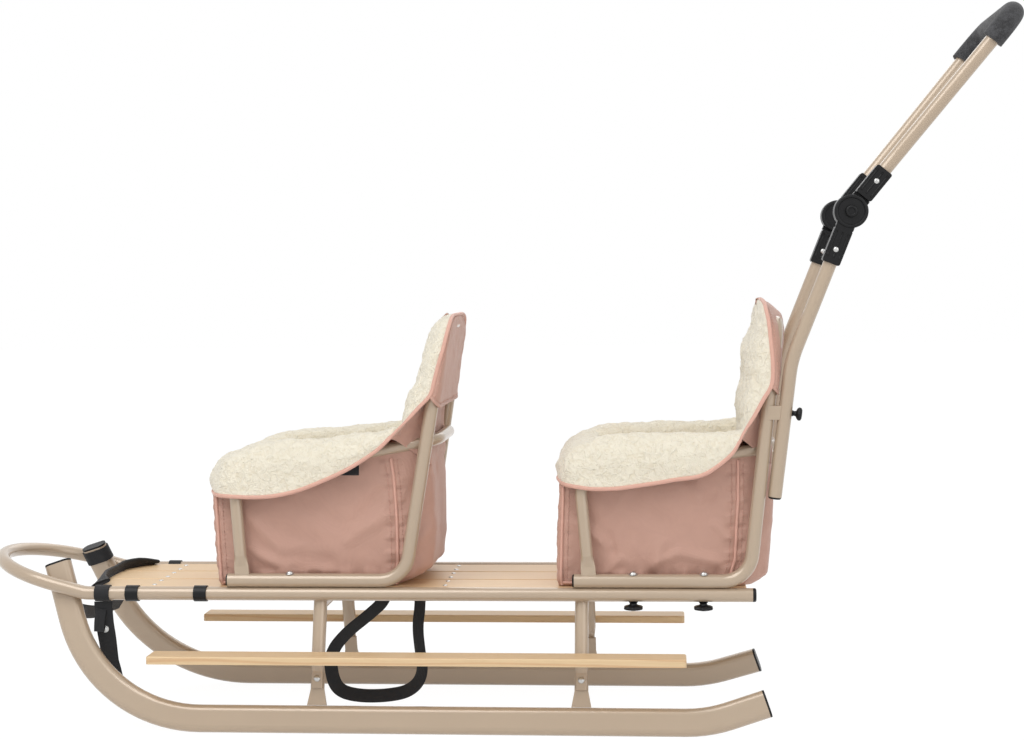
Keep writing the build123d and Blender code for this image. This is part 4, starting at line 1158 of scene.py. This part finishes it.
class SLED_OT_straps(bpy.types.Operator):
    """Lay the webbing: the hanging tail, the bundle, the loop below the deck and the cross strap"""

    bl_idname = "sled.straps"
    bl_label = "Straps"

    TAIL = (
        (-0.57270, -0.118, 0.1845), (-0.57250, -0.1172, 0.158), (-0.57000, -0.111, 0.128),
        (-0.56950, -0.102, 0.098), (-0.56600, -0.097, 0.070), (-0.56350, -0.0945, 0.046),
    )
    TAIL_ACROSS = ((1, 0.1, 0), (1, 0.1, 0.05), (0.97, -0.2, 0.1), (0.95, 0.2, 0.3))
    TAIL_WIDTH = 27.0
    SNAP_PROFILE = ((5.2, -0.6), (5.2, 0.8), (4.4, 1.5), (3.4, 1.0), (2.6, 1.0), (1.8, 1.9), (0, 2.1))
    TAB = ((-3, -1.9, 4), (-6, -2.6, -14), (-7, -2.2, -30))
    BUNDLE = (
        (-0.56030, 0.104, 0.2080), (-0.57200, 0.082, 0.2095), (-0.59300, 0.048, 0.2085),
        (-0.59900, 0.000, 0.2065), (-0.59700, -0.050, 0.2055), (-0.58900, -0.092, 0.2070),
        (-0.57900, -0.106, 0.2100),
    )
    BUNDLE_ACROSS = (
        (0.97, 0.2, 0.1), (0.7, 0, 0.7), (0.5, 0, 0.86), (0.6, 0, 0.8), (0.45, 0, 0.9), (0.7, 0, 0.7),
        (0.9, 0.2, 0.3),
    )
    BUNDLE_WIDTH, BUNDLE_THICKNESS = 30.0, 7.0
    LOOP = (
        (-0.16427, -0.006, 0.1927), (-0.16447, -0.0058, 0.1700), (-0.19327, -0.0045, 0.1439),
        (-0.22927, -0.001, 0.1160), (-0.25527, 0.004, 0.0840), (-0.25477, 0.007, 0.0480),
        (-0.24427, 0.008, 0.0241), (-0.21427, 0.008, 0.0160), (-0.17027, 0.005, 0.0170),
        (-0.13027, 0.001, 0.0260), (-0.11027, -0.002, 0.0520), (-0.11527, -0.004, 0.0919),
        (-0.11827, -0.005, 0.1280), (-0.11277, -0.006, 0.1621), (-0.11327, -0.006, 0.1927),
    )
    CROSS = (
        (-0.62030, -0.09683, 0.168), (-0.61828, -0.04985, 0.155), (-0.61527, 0, 0.148),
        (-0.61327, 0.04998, 0.147), (-0.61227, 0.10025, 0.143),
    )
    CROSS_ACROSS = ((0.5, 0, 0.86), (0.35, 0, 0.94), (0.5, 0, 0.86))
    FLAT, PLUMP = 0.35, 0.7

    @staticmethod
    def line_of(name, route):
        """Points along the smooth line that the route's points control."""
        curve = bpy.data.curves.new(name, "CURVE")
        curve.dimensions = "3D"
        curve.resolution_u = 16
        spline = curve.splines.new("NURBS")
        spline.points.add(len(route) - 1)
        for point, place in zip(spline.points, route):
            point.co = (*place, 1)
        spline.order_u = 3
        spline.use_endpoint_u = True
        line = bpy.data.objects.new(name, curve)
        bpy.context.scene.collection.objects.link(line)
        mesh = bpy.data.meshes.new_from_object(line)
        points = np.array([vertex.co for vertex in mesh.vertices], float) / MM
        bpy.data.objects.remove(line)
        bpy.data.meshes.remove(mesh)
        return points

    def strap(self, name, route, across, sizes, width=None, thickness=None):
        """A flat webbing strap along a route. across gives the width's direction at each point."""
        line = self.line_of(f"{name}_line", route)
        if across is None:
            sideways = np.array((0.0, 1.0, 0.0))
            across = 0.55 * sideways + 0.83 * np.cross(tangents_of(line), sideways)
        else:
            marks = np.linspace(0, 1, len(across))
            across = read_along(marks, across, np.linspace(0, 1, len(line)))
        shape = sweep(
            line, (width or sizes.strap_width / MM) / 2, (thickness or sizes.strap_thickness / MM) / 2,
            across=across, sides=16, squareness=self.FLAT if thickness is None else self.PLUMP,
        )
        made = piece(f"{name}_webbing", shape, FINISHES["webbing"])
        return made, line, float(np.linalg.norm(np.diff(line, axis=0), axis=1).sum() * MM)

    def execute(self, context):
        sizes = context.scene.sled_sizes
        tail, line, length = self.strap(
            "strap_tail", self.TAIL, self.TAIL_ACROSS, sizes, width=self.TAIL_WIDTH
        )
        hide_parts("strap_tail")
        snap = piece(
            "tail_snap", turned(self.SNAP_PROFILE, np.zeros(3), (0, -1, 0), 28), FINISHES["zinc"]
        )
        snap.data.transform(Matrix.Translation(Vector((line[len(line) // 4] + (0, -1.4, 0)) * MM)))
        tab_line = spread(eased(line[6] + np.array(self.TAB), 8), 14)
        tab = piece(
            "tail_tab", sweep(tab_line, 8.0, 0.9, across=(1, 0, 0.1), sides=16, squareness=self.FLAT),
            FINISHES["webbing"],
        )
        bundle, line, length = self.strap(
            "strap_bundle", self.BUNDLE, self.BUNDLE_ACROSS, sizes,
            width=self.BUNDLE_WIDTH, thickness=self.BUNDLE_THICKNESS,
        )
        loop, line, _ = self.strap("strap_loop", self.LOOP, None, sizes)
        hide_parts("strap_loop")
        cross, line, _ = self.strap("strap_cross", self.CROSS, self.CROSS_ACROSS, sizes)
        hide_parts("strap_cross")
        return {"FINISHED"}


class SLED_OT_seats(bpy.types.Operator):
    """Sew the two seats: fleece liners, cloth bags, pockets, piping, stitches and the bare tag"""

    bl_idname = "sled.seats"
    bl_label = "Seats"

    def execute(self, context):
        sizes = context.scene.sled_sizes
        for name, seat in SEATS.items():
            liner = make_liner(name, seat, FINISHES, sizes)
            back_thread = make_back(name, seat, FINISHES, sizes)
            bag, bag_thread = make_bag(name, seat, FINISHES, sizes)
            piece(f"{name}_stitches", joined(back_thread + bag_thread), FINISHES["thread"])
            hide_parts(f"{name}_collar", f"{name}_back_pad")
            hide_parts(f"{name}_bag")
            if seat["tag"]:
                self.tag(name, seat["tag"])
        return {"FINISHED"}

    TAG_GRID = (8, 16)
    TAG_ACROSS = 118.5
    TAG_TUCK = 14

    def tag(self, name, corners):
        """A bare ribbon tag below the liner's edge."""
        (low_x, low_z), (high_x, high_z) = corners
        rows, columns = self.TAG_GRID
        points = np.zeros((rows, columns, 3))
        for row, column in np.ndindex(rows, columns):
            share, rise = column / (columns - 1), row / (rows - 1)
            points[row, column] = at(
                low_x + (high_x - low_x) * share,
                -(self.TAG_ACROSS + 1.6 * math.sin(share * 2.6) + 1.2 * (1 - rise)),
                low_z + (high_z + self.TAG_TUCK - low_z) * rise,
            )
        made = piece(f"{name}_tag", grid(points), FINISHES["tag"], thickness=0.8 * MM)
        welded(made, 0.01)


def dome(place, axis, radius, height, steps=20):
    """A rivet or bolt head."""
    profile = (
        (radius, -0.4), (radius, 0.12 * height), (0.93 * radius, 0.42 * height),
        (0.72 * radius, 0.76 * height), (0.4 * radius, 0.95 * height), (0, height),
    )
    return turned(profile, place, axis, steps)


class SLED_OT_fasteners(bpy.types.Operator):
    """Fit the star knobs, bolts, rivets and tube plugs"""

    bl_idname = "sled.fasteners"
    bl_label = "Fasteners"

    RAIL_HALF = 118.0
    RAIL_LOW = 187.0
    KNOB_STATIONS = (984.0, 1085.0)
    KNOB_PROFILE = (
        (6.6, 0.0), (6.6, 0.9), (5.4, 1.4), (5.4, 3.6), (7.0, 5.0), (11.0, 6.0), (13.4, 7.4), (14.0, 9.0),
        (13.2, 10.8), (10.0, 11.9), (6.4, 12.0), (5.8, 11.2), (0, 11.2),
    )
    KNOB_STEPS, KNOB_LOBES, KNOB_LOBE_DEPTH = 60, 6, 0.10
    BATTENS = (268.0, 523.0, 706.0, 908.7, 1098.0)
    SLAT_MIDDLES = (-71.5, 0.0, 71.5)
    SLAT_RIVETS = (-18.0, 18.0)
    SLAT_TOP = 205.0
    LEGS = (523.0, 908.7)
    LEG_RIVET = (145.0, 77.3)
    LEG_LEAN = math.radians(18.0)
    PUSHER_LOW = (1188.5, 338.0)
    PUSHER_BEND = (1213.0, 535.0)
    PUSHER_HALF = 108.0
    CLAMP_Z = 460.0
    SEAT_TUBE_TOP, SEAT_TUBE_MIDDLE = 227.0, 217.1
    WASHER_PROFILE = ((7.2, -0.6), (7.2, 0.5), (5.6, 0.5))
    SEAT_PLUG_PROFILE = ((9.4, 0.5), (9.4, -1.2), (8.2, -2.6), (0, -3.0))
    PUSHER_PLUG_PROFILE = ((9.4, 0.5), (9.4, -1.4), (8.0, -3.0), (0, -3.4))
    UP = (0, 0, 1)

    def execute(self, context):
        star = (self.KNOB_STEPS, self.KNOB_LOBES, self.KNOB_LOBE_DEPTH)
        low_knobs = [
            turned(self.KNOB_PROFILE, at(station, side * self.RAIL_HALF, self.RAIL_LOW), (0, 0, -1), *star)
            for side, _name in SIDES
            for station in self.KNOB_STATIONS
        ]
        knobs = piece("seat_star_knobs", joined(low_knobs), FINISHES["plastic"])
        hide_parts("seat_knobs")

        low, bend = np.array(self.PUSHER_LOW), np.array(self.PUSHER_BEND)
        run = unit(bend - low)
        out = (run[1], 0.0, -run[0])
        station, height = low + run * ((self.CLAMP_Z - low[1]) / run[1])
        profile = [(0.68 * radius, 1.15 * far) for radius, far in self.KNOB_PROFILE]
        rear_knobs = [
            turned(profile, at(station, side * self.PUSHER_HALF, height) + np.array(out) * 10.2, out, *star)
            for side, _name in SIDES
        ]
        knobs = piece("pusher_star_knobs", joined(rear_knobs), FINISHES["plastic"])
        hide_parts("pusher_knobs")

        heads = []
        for seat in SEATS.values():
            for station in seat["bolts"]:
                for side, _name in SIDES:
                    place = at(station, side * self.RAIL_HALF, self.SEAT_TUBE_TOP)
                    heads.append(dome(place, self.UP, 5.6, 4.2))
                    heads.append(turned(self.WASHER_PROFILE, place, self.UP, 24))
        for station in self.BATTENS:
            for middle in self.SLAT_MIDDLES:
                for offset in self.SLAT_RIVETS:
                    heads.append(dome(at(station, middle + offset, self.SLAT_TOP), self.UP, 3.6, 1.3, 16))
        across, height = self.LEG_RIVET
        for station in self.LEGS:
            for side, _name in SIDES:
                facing = (0, side * math.cos(self.LEG_LEAN), math.sin(self.LEG_LEAN))
                heads.append(dome(at(station, side * across, height), facing, 5.0, 2.8))
        piece("deck_rivets_and_bolts", joined(heads), FINISHES["zinc"])

        plugs = []
        for seat in SEATS:
            lowest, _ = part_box(f"{seat}_frame")
            for side, _name in SIDES:
                end = np.array((lowest.x / MM, side * self.RAIL_HALF, self.SEAT_TUBE_MIDDLE))
                plugs.append(turned(self.SEAT_PLUG_PROFILE, end, (1, 0, 0), 24))
        for side, _name in SIDES:
            end = at(low[0], side * self.PUSHER_HALF, low[1])
            plugs.append(turned(self.PUSHER_PLUG_PROFILE, end, (run[0], 0, run[1]), 24))
        piece("tube_plugs", joined(plugs), FINISHES["plastic"])
        return {"FINISHED"}


class SLED_OT_hinges(bpy.types.Operator):
    """Add the rims, bosses, ribs and rivets of the fold hinges"""

    bl_idname = "sled.hinges"
    bl_label = "Hinge details"

    CENTRE = (1297.3, 746.4)
    HALF = 108.0
    THICK = 26.0
    HANDLE_LEAN = math.radians(39.4)
    LOWER_RIVET = (1275.4, 692.4)
    UPPER_RIVET = (1332.5, 788.3)
    RIM_PROFILE = ((23.6, -0.5), (23.6, 0.9), (22.8, 1.7), (19.6, 1.7), (18.8, 0.9), (18.8, -0.5))
    BOSS_PROFILE = ((8.4, -3.6), (8.4, 0.4), (7.6, 1.4), (5.4, 1.8), (4.6, 1.2), (4.4, -0.6), (0, -0.8))
    BOSS_REACH = 4.2
    RIB_START, RIB_END = 32, 70
    RIB_OFFSETS = (-8.6, 0.0, 8.6)

    def execute(self, context):
        bend = np.array(SLED_OT_fasteners.PUSHER_BEND)
        centre = np.array(self.CENTRE)
        lower_run = unit(bend - centre)
        upper_run = np.array((math.sin(self.HANDLE_LEAN), math.cos(self.HANDLE_LEAN)))
        black, zinc = FINISHES["plastic"], FINISHES["zinc"]
        for side, side_name in SIDES:
            outer, inner = [], []
            for shapes, sense in ((outer, 1), (inner, -1)):
                hub = at(centre[0], side * (self.HALF + sense * self.THICK / 2), centre[1])
                shapes.append(turned(self.RIM_PROFILE, hub, (0, side * sense, 0), 56))
            for run, shapes in ((lower_run, outer), (upper_run, inner)):
                beside = np.array((-run[1], run[0]))
                for face in (1, -1):
                    across = side * (self.HALF + face * self.THICK / 2)
                    for offset in self.RIB_OFFSETS:
                        first = centre + run * self.RIB_START + beside * offset
                        last = centre + run * self.RIB_END + beside * offset
                        line = np.array([
                            at(*np.insert(first + (last - first) * share, 1, across))
                            for share in np.linspace(0, 1, 8)
                        ])
                        shapes.append(sweep(line, 1.3, 0.9, across=(-run[1], 0, run[0]), sides=8))
            piece(f"hinge_lower_ribs_{side_name}", joined(outer), black)
            piece(f"hinge_upper_ribs_{side_name}", joined(inner), black, body="handle")
            boss = at(centre[0], side * (self.HALF + self.THICK / 2 + self.BOSS_REACH), centre[1])
            piece(
                f"hinge_boss_{side_name}", turned(self.BOSS_PROFILE, boss, (0, side, 0), 36),
                black, body="handle",
            )
            for face, face_name in ((1, "out"), (-1, "in")):
                across = side * (self.HALF + face * self.THICK / 2)
                for part, (station, height), body in (
                    ("lower", self.LOWER_RIVET, "root"), ("upper", self.UPPER_RIVET, "handle")
                ):
                    piece(
                        f"hinge_{part}_rivet_{side_name}_{face_name}",
                        dome(at(station, across, height), (0, side * face, 0), 4.2, 2.4),
                        zinc, body=body,
                    )
        return {"FINISHED"}


class SLED_OT_handle(bpy.types.Operator):
    """Sweep the push handle's loop of bent tube"""

    bl_idname = "sled.handle"
    bl_label = "Handle loop"

    SLEEVE_START = 30.0
    STRAIGHT = 95.0
    LENGTH = 358.0
    TOP_HALF = 140.0
    SPLAY_BEND, TOP_BEND = 150.0, 44.0
    TUBE = 10.0

    def execute(self, context):
        station, height = SLED_OT_hinges.CENTRE
        lean, half = SLED_OT_hinges.HANDLE_LEAN, SLED_OT_hinges.HALF
        left = [
            at(station + math.sin(lean) * run, -across, height + math.cos(lean) * run)
            for run, across in (
                (self.SLEEVE_START, half), (self.STRAIGHT, half), (self.LENGTH, self.TOP_HALF)
            )
        ]
        corners = left + [corner * MIRROR for corner in reversed(left)]
        bends = (self.SPLAY_BEND, self.TOP_BEND, self.TOP_BEND, self.SPLAY_BEND)
        tube = piece(
            "handle_loop", sweep(spread(bent(corners, bends), 260), self.TUBE, self.TUBE, sides=28),
            FINISHES["paint"], body="handle",
        )
        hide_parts("handle_tube")
        return {"FINISHED"}


OPERATORS = (
    SLED_OT_stage, SLED_OT_finishes, SLED_OT_straps, SLED_OT_seats, SLED_OT_fasteners, SLED_OT_hinges,
    SLED_OT_handle,
)


class SLED_PT_sidebar(bpy.types.Panel):
    """The sled's steps, sizes and colours in the sidebar"""

    bl_idname = "SLED_PT_sidebar"
    bl_label = "Push sled"
    bl_space_type = "VIEW_3D"
    bl_region_type = "UI"
    bl_category = "Sled"

    def draw(self, context):
        for operator in OPERATORS:
            self.layout.operator(operator.bl_idname)
        for group in (context.scene.sled_colours, context.scene.sled_sizes):
            box = self.layout.box()
            for name in group.__annotations__:
                box.prop(group, name)


def register():
    for group in (SledColours, SledSizes, *OPERATORS, SLED_PT_sidebar):
        bpy.utils.register_class(group)
    bpy.types.Scene.sled_colours = PointerProperty(type=SledColours)
    bpy.types.Scene.sled_sizes = PointerProperty(type=SledSizes)


def unregister():
    del bpy.types.Scene.sled_sizes
    del bpy.types.Scene.sled_colours
    for group in reversed((SledColours, SledSizes, *OPERATORS, SLED_PT_sidebar)):
        bpy.utils.unregister_class(group)


def main():
    register()
    bpy.ops.sled.stage()
    bpy.ops.sled.finishes()
    bpy.ops.sled.straps()
    bpy.ops.sled.seats()
    bpy.ops.sled.fasteners()
    bpy.ops.sled.hinges()
    bpy.ops.sled.handle()


if __name__ == "__main__":
    main()
